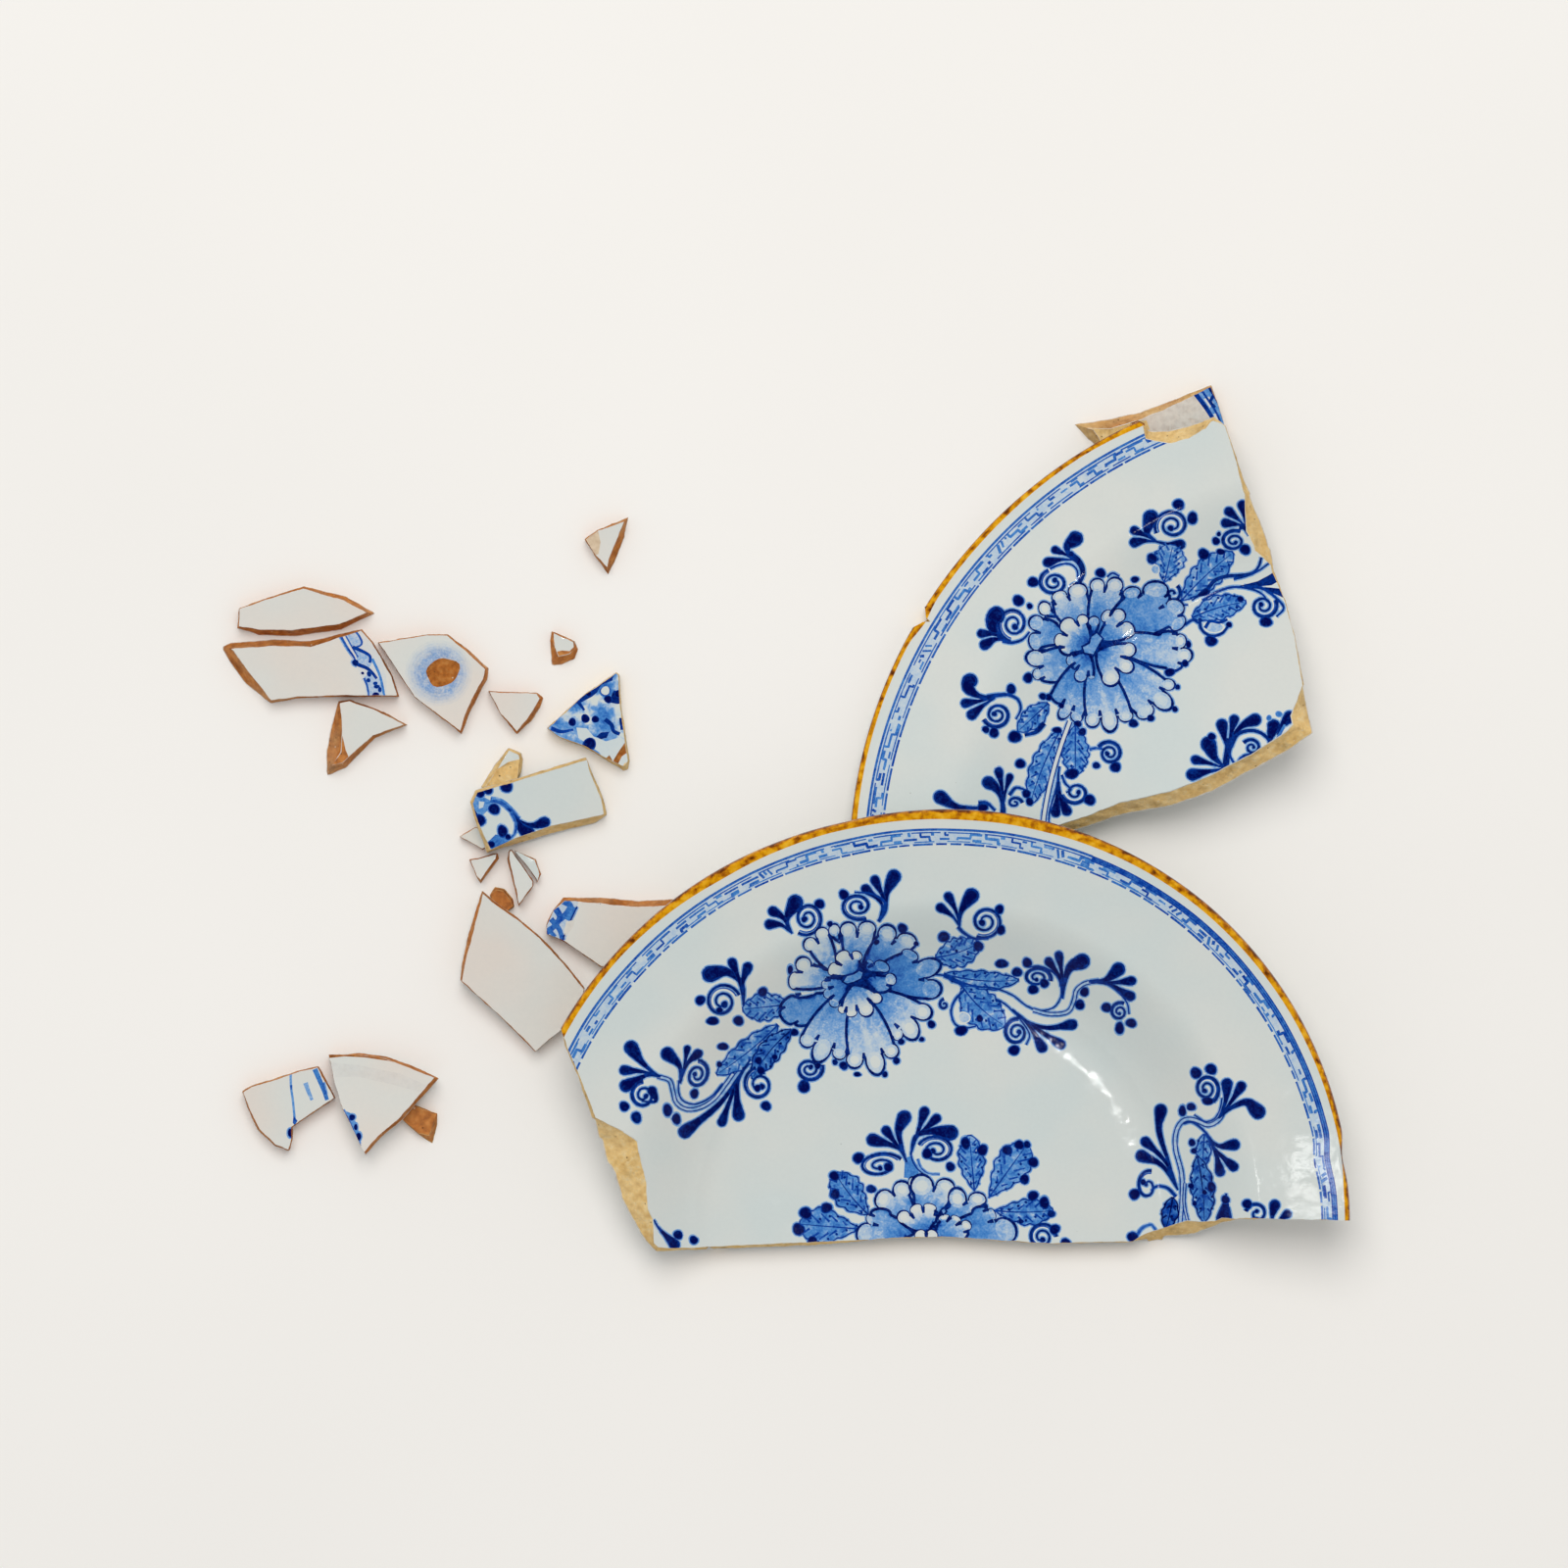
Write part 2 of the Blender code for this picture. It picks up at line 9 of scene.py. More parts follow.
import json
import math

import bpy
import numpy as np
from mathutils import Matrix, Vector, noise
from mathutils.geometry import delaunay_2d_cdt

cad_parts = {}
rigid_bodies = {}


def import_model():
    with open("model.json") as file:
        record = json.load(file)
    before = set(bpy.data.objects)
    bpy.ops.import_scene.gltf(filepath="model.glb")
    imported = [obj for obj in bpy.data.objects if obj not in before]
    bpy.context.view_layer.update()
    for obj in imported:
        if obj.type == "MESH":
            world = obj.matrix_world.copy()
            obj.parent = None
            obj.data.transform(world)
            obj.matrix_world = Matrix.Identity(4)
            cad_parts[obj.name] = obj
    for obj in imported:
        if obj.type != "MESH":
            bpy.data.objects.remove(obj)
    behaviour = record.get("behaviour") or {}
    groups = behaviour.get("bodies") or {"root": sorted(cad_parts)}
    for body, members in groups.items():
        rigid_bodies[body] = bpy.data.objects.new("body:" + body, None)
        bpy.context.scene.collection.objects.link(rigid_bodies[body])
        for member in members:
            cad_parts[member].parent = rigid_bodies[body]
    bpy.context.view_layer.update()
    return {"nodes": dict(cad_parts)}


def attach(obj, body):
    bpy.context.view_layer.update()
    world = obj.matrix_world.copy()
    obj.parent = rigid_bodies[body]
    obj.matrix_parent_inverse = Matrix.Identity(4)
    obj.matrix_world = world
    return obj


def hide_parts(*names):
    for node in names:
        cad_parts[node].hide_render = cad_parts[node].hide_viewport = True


bl_info = {
    "name": "Broken plate",
    "version": (1, 0, 0),
    "blender": (4, 5, 0),
    "location": "3D Viewport > Sidebar > Plate",
    "description": "Glazed, painted and broken sherds of a plate, built round its solids",
    "category": "Object",
}

for startup_object in list(bpy.data.objects):
    bpy.data.objects.remove(startup_object)
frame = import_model()

MM = 0.001

# The plate's section, measured inwards from the outer edge of its rim, as its solids were turned
PLATE_HEIGHT = 24.0
WALL = 4.8
LIP_ROUND = 1.4
FLANGE_FALL_PER_MM = 0.16
CAVETTO_START = 26.0
CAVETTO_WIDTH = 30.0
WELL_LEVEL = 6.4
FOOT_OUTSIDE = 53.5
FOOT_WIDTH = 5.0
FOOT_EDGE = 0.5
FOOT_RISE = 1.6
FOOT_CORNERS = [FOOT_OUTSIDE, FOOT_OUTSIDE + FOOT_EDGE, FOOT_OUTSIDE + FOOT_WIDTH - FOOT_EDGE,
                FOOT_OUTSIDE + FOOT_WIDTH]

# Where the two turned sherds stand before they are fitted to their solids
LOWER_RADIUS = 120.0
LOWER_CENTRE = (44.0, -117.0, 0.0)
UPPER_RADIUS = 136.0
UPPER_CENTRE = (155.2, -10.9, 27.7)
UPPER_TIP_TOWARDS = 144.0
UPPER_TIP = 19.0
BULGE_REACH = 34.0

# A solid's face is turned where it lies this near the section and faces this much its way, and a small
# sherd's is flat where it faces this much the way of its largest one
TURNED_NEAR = 0.3
TURNED_FACING = 0.9
FLAT_FACING = 0.9995

# How fine the meshes are. Rings of corners run round the lip at distances in from its edge
EDGE_STEP = 0.55
FRONT_STEP = 1.3
BACK_STEP = 3.0
STROKE_STEP = 0.5
FRONT_RING_STEP = 1.6
BACK_RING_STEP = 2.2
LIP_RINGS = [0.13, 0.5, 0.92, LIP_ROUND]
LEAST_GAP = 0.45
LOOSENED = 0.18

# The waves in the glaze, and how the small sherds dish
WAVE_LONGEST = 26.0
WAVE_SHORTEST = 6.0
WAVE_COUNT = 14
TURNED_WAVES = 0.035
SLAB_WAVES = 0.03
SLAB_DISH = 0.25

# How the sherds broke: the glaze's edge, the rows of corners down a break, and how far their edges wore
GLAZE_THICK = 0.35
BREAK_ROWS = 9
WORN_COARSE = 0.3
WORN_FINE = 0.14
SPALL_DEPTH = 0.4
SPALL_ROUGH = 0.7
SHARP_ANGLE = math.radians(42)

# How pale, rusty and soiled the two clays are, the cobalt, ochre and soil on a break's upper glazed edge, and
# how dark its lower glazed edge is made: a thin dark line round the sherd's foot
BUFF = (0.25, 0.0, 0.08)
RUST = (0.1, 0.95, 0.1)
UPPER_EDGE = (0.0, 0.0, 0.12)
LOWER_EDGE = (0.0, 0.0, 0.6)

# How far a dark stroke bleeds, and from which depth of blue it does
BLEED = 0.36
BLEEDS_FROM = 0.55

# The stage: what the camera looks straight down on, and how much of the table it takes in
TABLE_MIDDLE = (-0.0003, 0.0098, 0.0)
TABLE_SHOWN = 0.456
SENSOR = 36.0
LAMP_WHITE = (1.0, 0.985, 0.965)
ROOM_WHITE = (0.97, 0.985, 1.0, 1.0)


# ---------------------------------------------------------------- points and directions

def smooth_step(t):
    t = np.clip(t, 0.0, 1.0)
    return t * t * (3.0 - 2.0 * t)


def unit(rows):
    """Directions, one to a row, made one long."""
    return rows / np.maximum(np.linalg.norm(rows, axis=1), 1e-9)[:, None]


def to_left(along):
    """Directions in plan turned a quarter to the left."""
    return np.column_stack([-along[:, 1], along[:, 0]])


def onward(loop):
    """The way from the point before to the point after, at each point of a closed loop."""
    return np.roll(loop, -1, axis=0) - np.roll(loop, 1, axis=0)


def gaps(points, others):
    """The distance in plan from each point to each of the others."""
    return np.hypot(points[:, :1] - others[:, 0], points[:, 1:] - others[:, 1])


def on_circle(angle, reach=1.0):
    return np.column_stack([reach * np.cos(angle), reach * np.sin(angle)])


def noise_at(x, y, z):
    return noise.noise(Vector((x, y, z)))


# ---------------------------------------------------------------- the section

def flange_to_well(inward):
    """Height of the front at a distance in from the rim's edge, without the lip."""
    flange = PLATE_HEIGHT - FLANGE_FALL_PER_MM * inward
    drop = smooth_step((inward - CAVETTO_START) / CAVETTO_WIDTH)
    return flange + (WELL_LEVEL - flange) * drop


def under_wall(inward):
    """Height of the back, a wall's thickness across the slope below the front."""
    step = 0.5
    slope = (flange_to_well(inward + step) - flange_to_well(inward - step)) / (2 * step)
    return flange_to_well(inward) - WALL * np.hypot(1.0, slope)


def lip_height(inward, side):
    """The rounded lip: side is 1 on its upper half and -1 on its lower half."""
    top, bottom = flange_to_well(LIP_ROUND), under_wall(LIP_ROUND)
    out = np.clip((LIP_ROUND - inward) / LIP_ROUND, 0.0, 1.0)
    return (top + bottom) / 2 + side * (top - bottom) / 2 * np.sqrt(1.0 - out * out)


def foot_softness(inward):
    """How much the glaze fills the corner between the cavetto and the well."""
    left = np.clip((66.0 - inward) / 16.0, 0, 1)
    return 0.96 * left ** 2 * smooth_step((np.asarray(inward, float) - 15.0) / 35.0)


def front_height(inward):
    return np.where(inward < LIP_ROUND, lip_height(inward, 1), flange_to_well(inward))


def back_height(inward, radius):
    foot = radius - np.array(FOOT_CORNERS[::-1])
    ring = np.interp(radius - inward, foot, [FOOT_RISE, 0.0, 0.0, FOOT_RISE])
    wall = np.where(inward < LIP_ROUND, lip_height(inward, -1), under_wall(inward))
    return np.where(inward > FOOT_OUTSIDE, ring, wall)


def section_line(radius):
    """The section as (radius, height): the front from the middle out, and the back from the rim in."""
    swing = np.radians(np.linspace(90, 0, 13))
    inward = np.concatenate([np.arange(radius, LIP_ROUND, -1.0), LIP_ROUND * (1 - np.cos(swing))])
    outward = np.concatenate([inward[inward < FOOT_OUTSIDE][::-1], FOOT_CORNERS, [radius]])
    front = np.column_stack([radius - inward, front_height(inward)])
    back = np.column_stack([radius - outward, back_height(outward, radius)])
    return front, back


# ------------------------------------------------- reading the solids

def cad_shape(node):
    """A node's welded corners, in millimetres, and its triangles."""
    mesh = frame["nodes"][node].data
    mesh.calc_loop_triangles()
    raw = np.array([vertex.co for vertex in mesh.vertices]) / MM
    _, first, index = np.unique(np.round(raw, 2), axis=0, return_index=True, return_inverse=True)
    faces = index.reshape(-1)[np.array([triangle.vertices for triangle in mesh.loop_triangles])]
    distinct = (faces[:, 0] != faces[:, 1]) & (faces[:, 1] != faces[:, 2]) & (faces[:, 0] != faces[:, 2])
    return raw[first], faces[distinct]


def moved(points, pose):
    """Points, one to a row, through a 4 x 4 pose."""
    pose = np.array(pose)
    return points @ pose[:3, :3].T + pose[:3, 3]


def face_facts(corners, faces):
    """Middles, unit normals and areas."""
    a, b, c = corners[faces[:, 0]], corners[faces[:, 1]], corners[faces[:, 2]]
    cross = np.cross(b - a, c - a)
    length = np.maximum(np.linalg.norm(cross, axis=1), 1e-9)
    return (a + b + c) / 3, cross / length[:, None], length / 2


def rim_loop(faces, chosen):
    """The longest closed loop of edges round the chosen faces, in their winding."""
    follow = {}
    for a, b, c in faces[chosen]:
        for start, end in ((a, b), (b, c), (c, a)):
            if follow.get((end, start)):
                del follow[(end, start)]
            else:
                follow[(start, end)] = True
    ways = {}
    for start, end in follow:
        ways.setdefault(start, []).append(end)
    longest = []
    while ways:
        here = next(iter(ways))
        loop = []
        while here in ways:
            loop.append(here)
            ends = ways[here]
            there = ends.pop()
            if not ends:
                del ways[here]
            here = there
        if len(loop) > len(longest):
            longest = loop
    return longest


def fitted_pose(corners, radius, pose):
    """The pose nudged until the corners lie on the plate's front: two tilts and three shifts."""
    def nudged(values):
        turn = Matrix.Rotation(values[0], 4, "X") @ Matrix.Rotation(values[1], 4, "Y")
        return Matrix.Translation(values[2:]) @ pose @ turn

    def misfit(values):
        local = moved(corners, nudged(values).inverted())
        inward = radius - np.hypot(local[:, 0], local[:, 1])
        return local[:, 2] - flange_to_well(inward), inward

    values, small = np.zeros(5), 1e-4
    for _ in range(8):
        gap, inward = misfit(values)
        near = (np.abs(gap) < 1.0) & (inward > LIP_ROUND + 0.2)
        slopes = []
        for i in range(5):
            step = np.zeros(5)
            step[i] = small
            slopes.append((misfit(values + step)[0][near] - gap[near]) / small)
        slopes = np.array(slopes).T
        bend = slopes.T @ slopes + 1e-3 * np.eye(5)
        values = values - np.linalg.solve(bend, slopes.T @ gap[near])
    return nudged(values)


class Sherd:
    """One piece's frame, its front and back heights, and the two outlines between which it broke."""

    def __init__(self, node, seed):
        self.node = node
        self.seed = seed
        self.corners, self.faces = cad_shape(node)
        self.radius = None

    def read_outlines(self, front, back):
        local = moved(self.corners, self.pose.inverted())
        self.front_outline = local[rim_loop(self.faces, front), :2]
        self.back_outline = local[rim_loop(self.faces, back), :2][::-1]

    def on_table(self, points):
        """Where points of the front, in the sherd's frame, are seen from above."""
        tall = np.column_stack([points, self.front(points)])
        return moved(self.settled(tall), self.pose)[:, :2]

    def settled(self, points):
        """Points of the true shape, put where the sherd as it was made has them."""
        return points

    def from_table(self, points):
        """The points of the front that are seen at these places on the table."""
        points = np.asarray(points, float)
        turn = np.linalg.inv(np.array(self.pose)[:2, :2])
        local = (points - np.array(self.pose)[:2, 3]) @ turn.T
        for _ in range(8):
            local = local + (points - self.on_table(local)) @ turn.T
        return local


class TurnedSherd(Sherd):
    """A sherd with a stretch of rim, cut from a turned plate.

    Its rim was thrown a little out of true: bulge gives how far out of its circle, by angle.
    """

    def __init__(self, node, seed, radius, centre, bulge, tip=0.0, towards=0.0):
        super().__init__(node, seed)
        self.radius = radius
        self.bulge = bulge
        axis = Vector((-math.sin(math.radians(towards)), math.cos(math.radians(towards)), 0))
        guess = Matrix.Translation(centre) @ Matrix.Rotation(math.radians(tip), 4, axis)
        self.pose = fitted_pose(self.corners, radius, guess)
        self.read_outlines(*self.sides())

    def settled(self, points):
        reach = np.maximum(np.hypot(points[:, 0], points[:, 1]), 1e-6)
        near = smooth_step(1 - (self.radius - reach) / BULGE_REACH)
        out = self.bulge(np.arctan2(points[:, 1], points[:, 0])) * near
        points = points.copy()
        points[:, :2] *= (1 + out / reach)[:, None]
        return points

    def sides(self):
        """Which faces are turned ones on the front, and on the back. The others are broken."""
        local = moved(self.corners, self.pose.inverted())
        middles, normals, _ = face_facts(local, self.faces)
        reach = np.maximum(np.hypot(middles[:, 0], middles[:, 1]), 1e-6)
        outward = (normals[:, 0] * middles[:, 0] + normals[:, 1] * middles[:, 1]) / reach
        place = np.column_stack([reach, middles[:, 2]])
        facing = np.column_stack([outward, normals[:, 2]])
        front, back = section_line(self.radius)
        found = []
        for line in (front, back):
            run = line[1:] - line[:-1]
            length = np.linalg.norm(run, axis=1)
            kept = length > 1e-6
            start, run, length = line[:-1][kept], run[kept], length[kept]
            side = to_left(run) / length[:, None]
            offset = place[:, None, :] - start[None]
            along = np.clip((offset * run[None]).sum(2) / length[None] ** 2, 0, 1)
            gap = np.linalg.norm(offset - along[:, :, None] * run[None], axis=2)
            nearest = gap.argmin(1)
            rows = np.arange(len(place))
            found.append((gap[rows, nearest], (facing * side[nearest]).sum(1)))
        turned = [(gap < TURNED_NEAR) & (cosine > TURNED_FACING) for gap, cosine in found]
        is_front = turned[0] & (found[0][0] <= found[1][0])
        return is_front, turned[1] & ~is_front

    def front(self, points):
        inward = self.radius - np.hypot(points[:, 0], points[:, 1])
        return front_height(inward) + foot_softness(inward)

    def back(self, points):
        return back_height(self.radius - np.hypot(points[:, 0], points[:, 1]), self.radius)

    def is_rim(self, points):
        return np.hypot(points[:, 0], points[:, 1]) > self.radius - 0.2


class SlabSherd(Sherd):
    """A small sherd, flat but for a slight dish."""

    def __init__(self, node, seed):
        super().__init__(node, seed)
        _, normals, areas = face_facts(self.corners, self.faces)
        up = normals[:, 2] > 0.9
        share = [(areas[up] * ((normals[up] @ normal) > FLAT_FACING)).sum() for normal in normals[up]]
        facing = normals[up][int(np.argmax(share))]
        front = (normals @ facing) > FLAT_FACING
        back = (normals @ facing) < -FLAT_FACING
        turn = Vector((0, 0, 1)).rotation_difference(Vector(facing)).to_matrix().to_4x4()
        base = self.corners[np.unique(self.faces[back])].mean(0)
        self.pose = Matrix.Translation(base) @ turn
        self.thickness = float((self.corners[np.unique(self.faces[front])] - base).mean(0) @ facing)
        self.read_outlines(front, back)
        self.half = np.abs(self.front_outline).max()

    def front(self, points):
        lift = ((points / self.half) ** 2).sum(1) - 0.5
        return self.thickness + SLAB_DISH * lift

    def back(self, points):
        return np.zeros(len(points))

    def is_rim(self, points):
        return np.zeros(len(points), bool)


# ---------------------------------------------------------------- meshing

def waves(points, seed, height):
    """A gentle unevenness: a sum of waves in all directions, the longer ones higher."""
    rng = np.random.default_rng(seed)
    total = np.zeros(len(points))
    for _ in range(WAVE_COUNT):
        length = math.exp(rng.uniform(math.log(WAVE_SHORTEST), math.log(WAVE_LONGEST)))
        heading, phase = rng.uniform(0, 2 * math.pi, 2)
        along = points[:, 0] * math.cos(heading) + points[:, 1] * math.sin(heading)
        total += np.sin(2 * math.pi * along / length + phase) * length / WAVE_LONGEST
    return total * height / math.sqrt(WAVE_COUNT)


def inside(points, loop):
    """Which points a closed loop goes round. The loop may cross itself."""
    ends = np.roll(loop, -1, axis=0)
    rise = ends[:, 1] - loop[:, 1]
    rise = np.where(rise == 0, 1e-12, rise)
    found = []
    for some in np.array_split(points, max(1, len(points) // 2000)):
        x, y = some[:, :1], some[:, 1:]
        beyond = x < loop[:, 0] + (y - loop[:, 1]) * (ends[:, 0] - loop[:, 0]) / rise
        up = (loop[:, 1] <= y) & (ends[:, 1] > y) & beyond
        down = (loop[:, 1] > y) & (ends[:, 1] <= y) & beyond
        found.append(up.sum(1) != down.sum(1))
    return np.concatenate(found)


def clear_of(points, loop, distance):
    """The points that keep this distance from every corner of a fine loop."""
    keep = []
    for some in np.array_split(points, max(1, len(points) // 2000)):
        keep.append(gaps(some, loop).min(1) > distance)
    return points[np.concatenate(keep)]


def scattered(loop, step, seed):
    """Points in loosened triangles all over the inside of a loop."""
    low, high = loop.min(0), loop.max(0)
    rows = np.arange(low[1], high[1], step * math.sqrt(0.75))
    rng = np.random.default_rng(seed)
    points = []
    for i, y in enumerate(rows):
        across = np.arange(low[0] + (i % 2) * step / 2, high[0], step)
        points.append(np.column_stack([across, np.full(len(across), y)]))
    points = np.concatenate(points)
    points += rng.uniform(-LOOSENED, LOOSENED, points.shape) * step
    points = points[inside(points, loop)]
    return clear_of(points, loop, step * LEAST_GAP)


def triangulated(loop, strokes, lines, loose):
    """Triangles inside a loop with strokes and lines cut into them, and where its corners have gone."""
    coords, edges = [loop], []
    start = len(loop)
    for outline in strokes:
        ahead = np.roll(np.arange(len(outline)), -1)
        edges += [(start + i, start + int(j)) for i, j in enumerate(ahead)]
        coords.append(outline)
        start += len(outline)
    for line in lines:
        edges += [(start + i, start + i + 1) for i in range(len(line) - 1)]
        coords.append(line)
        start += len(line)
    coords.append(loose)
    flat = [Vector(point) for point in np.concatenate(coords).tolist()]
    whole = [list(range(len(loop)))]
    points, _, triangles, origins, _, owners = delaunay_2d_cdt(flat, edges, whole, 0, 1e-4, True)
    faces = np.array([triangle for triangle, owner in zip(triangles, owners) if owner])
    used, faces = np.unique(faces, return_inverse=True)
    corner = np.full(len(loop), -1)
    renumbered = np.full(len(points), -1)
    renumbered[used] = np.arange(len(used))
    for i, sources in enumerate(origins):
        for source in sources:
            if source < len(loop):
                corner[source] = renumbered[i]
    points = np.array([tuple(point) for point in points])[used]
    return points, faces.reshape(-1, 3), corner


def topmost(points, faces, strokes):
    """For each triangle the last of the strokes that covers it, or -1."""
    middles = points[faces].mean(1)
    order = np.argsort(middles[:, 0])
    across = middles[order, 0]
    found = np.full(len(faces), -1)
    for number, outline in enumerate(strokes):
        low, high = outline.min(0), outline.max(0)
        some = order[np.searchsorted(across, low[0]):np.searchsorted(across, high[0])]
        some = some[(middles[some, 1] > low[1]) & (middles[some, 1] < high[1])]
        if len(some):
            found[some[inside(middles[some], outline)]] = number
    return found


def fine_outline(sherd):
    """The front's outline in small steps: its rim on the circle, and its breaks a little ragged."""
    loop = sherd.front_outline
    on_rim = sherd.is_rim(loop)
    points, rim = [], []
    for i in range(len(loop)):
        j = (i + 1) % len(loop)
        run = loop[j] - loop[i]
        length = float(np.linalg.norm(run))
        both = on_rim[i] and on_rim[j]
        count = max(1, round(length / (2.5 * EDGE_STEP if both else EDGE_STEP)))
        at = list(np.arange(count) * length / count)
        close = [0.08, 0.25, 0.5, 0.9, 1.4]
        if on_rim[i] and not both:
            at = [0.0] + close + [x for x in at if x > 1.7]
        if on_rim[j] and not both:
            at = [x for x in at if x < length - 1.7] + [length - x for x in close[::-1]]
        for x in at:
            point = loop[i] + run * x / length
            if both:
                point *= sherd.radius / np.linalg.norm(point)
            points.append(point)
            rim.append(bool(both or (x == 0.0 and on_rim[i])))
    return worn_back(np.array(points), np.array(rim), sherd.seed)


def worn_back(points, rim, seed):
    """A closed outline taken back a little, unevenly, except on the rim and where it ends."""
    inward = to_left(unit(onward(points)))
    amount = np.empty(len(points))
    for i, (x, y) in enumerate(points):
        coarse = noise_at(x * 0.28, y * 0.28, seed)
        small = noise_at(x * 1.1, y * 1.1, seed + 40)
        amount[i] = WORN_COARSE * (0.5 + 0.9 * coarse) + WORN_FINE * (0.5 + small)
    if rim.any():
        amount *= np.clip((gaps(points, points[rim]).min(1) - 1.6) / 3.0, 0, 1)
    reach = np.cumsum(np.linalg.norm(np.roll(points, 1, axis=0) - points, axis=1))
    for i, point in enumerate(points):
        apart = np.abs(reach - reach[i])
        away = np.minimum(apart, reach[-1] - apart) > 2.0
        narrow = gaps(point[None], points[away]).min()
        amount[i] *= min(1.0, max(0.0, (narrow - 0.7) / 2.5))
    return points + inward * np.clip(amount, 0, None)[:, None]


def partners(points, loop):
    """For each point of one closed outline, its place on another that runs beside it.

    The two are followed together, so that what lies between them is as short as it can be.
    """
    length = np.linalg.norm(np.roll(loop, -1, axis=0) - loop, axis=1)
    reach = np.concatenate([[0.0], np.cumsum(length)])
    whole = reach[-1]
    closed = np.vstack([loop, loop[:1]])
    place = np.linspace(0, whole, int(whole / EDGE_STEP), endpoint=False)
    other = along_loop(closed, reach, place)
    cost = gaps(points, other)
    first, start = np.unravel_index(cost.argmin(), cost.shape)
    cost = np.roll(cost, (-first, -start), (0, 1))
    cost = np.pad(cost, ((0, 1), (0, 1)), "wrap")
    best = np.full(cost.shape, np.inf)
    best[0] = np.cumsum(cost[0])
    for i in range(1, len(cost)):
        entry = best[i - 1].copy()
        entry[1:] = np.minimum(entry[1:], best[i - 1, :-1])
        entry += cost[i]
        total = np.cumsum(cost[i])
        best[i] = total + np.minimum.accumulate(entry - total)
    i, j = len(cost) - 1, cost.shape[1] - 1
    met = [[] for _ in range(len(cost))]
    while i or j:
        met[i].append(j)
        before = [(best[i - 1, j - 1] if i and j else np.inf, i - 1, j - 1),
                  (best[i - 1, j] if i else np.inf, i - 1, j),
                  (best[i, j - 1] if j else np.inf, i, j - 1)]
        _, i, j = min(before)
    met[0].append(0)
    at = np.array([np.mean(some) for some in met]) * whole / len(place)
    at[0], at[-1] = 0.0, whole
    padded = np.concatenate([at[-4:-1] - whole, at, at[1:4] + whole])
    at = np.convolve(padded, np.ones(7) / 7, "valid")[:-1]
    least = 0.02
    for i in range(1, len(at)):
        at[i] = max(at[i], at[i - 1] + least)
    end = at[0] + whole
    for i in range(len(at) - 1, 0, -1):
        end = min(at[i], end - least)
        at[i] = end
    at = (np.roll(at, first) + place[start]) % whole
    return along_loop(closed, reach, at)


def along_loop(closed, reach, at):
    return np.column_stack([np.interp(at, reach, closed[:, axis]) for axis in (0, 1)])


def rings_inside(sherd, loop, inward_distances, step):
    """Circles on the plate's axis, cut off just short of its breaks."""
    lines = []
    for inward in inward_distances:
        radius = sherd.radius - inward
        count = int(2 * math.pi * radius / step)
        turn = np.linspace(0, 2 * math.pi, count, endpoint=False)
        circle = on_circle(turn, radius)
        inner = inside(circle, loop)
        broken = loop[~sherd.is_rim(loop)]
        gap = np.concatenate([gaps(some, broken).min(1) for some in np.array_split(circle, 8)])
        good = inner & (gap > LEAST_GAP)
        begin = int(np.argmin(good))
        current = []
        for i in range(begin, begin + count + 1):
            if good[i % count] and i < begin + count:
                current.append(circle[i % count])
            else:
                if len(current) > 2:
                    lines.append(np.array(current))
                current = []
    return lines


# ---------------------------------------------------------------- brushwork

def blue(depth):
    return (depth, 0.0, 0.0)


def curve(points, step=STROKE_STEP):
    """A smooth line through points, in small steps."""
    points = np.asarray(points, float)
    if len(points) == 2:
        points = np.array([points[0], points.mean(0), points[1]])
    ends = np.vstack([2 * points[0] - points[1], points, 2 * points[-1] - points[-2]])
    found = []
    for a, b, c, d in zip(ends, ends[1:], ends[2:], ends[3:]):
        count = max(2, int(np.linalg.norm(c - b) / step))
        t = (np.arange(count) / count)[:, None]
        found.append(b + 0.5 * t * (c - a + t * (2 * a - 5 * b + 4 * c - d + t * (3 * b - a - 3 * c + d))))
    return np.vstack(found + [points[-1:]])


def ribbon(path, half):
    """The outline of a line with these half widths along it."""
    side = to_left(unit(np.gradient(path, axis=0))) * np.asarray(half, float)[:, None]
    return np.vstack([path + side, (path - side)[::-1]])


def shrunk(outline, amount):
    """A closed outline taken in all round."""
    x, y = outline.T
    way = 1 if (x * np.roll(y, -1) - y * np.roll(x, -1)).sum() > 0 else -1
    return outline + way * amount * to_left(unit(onward(outline)))


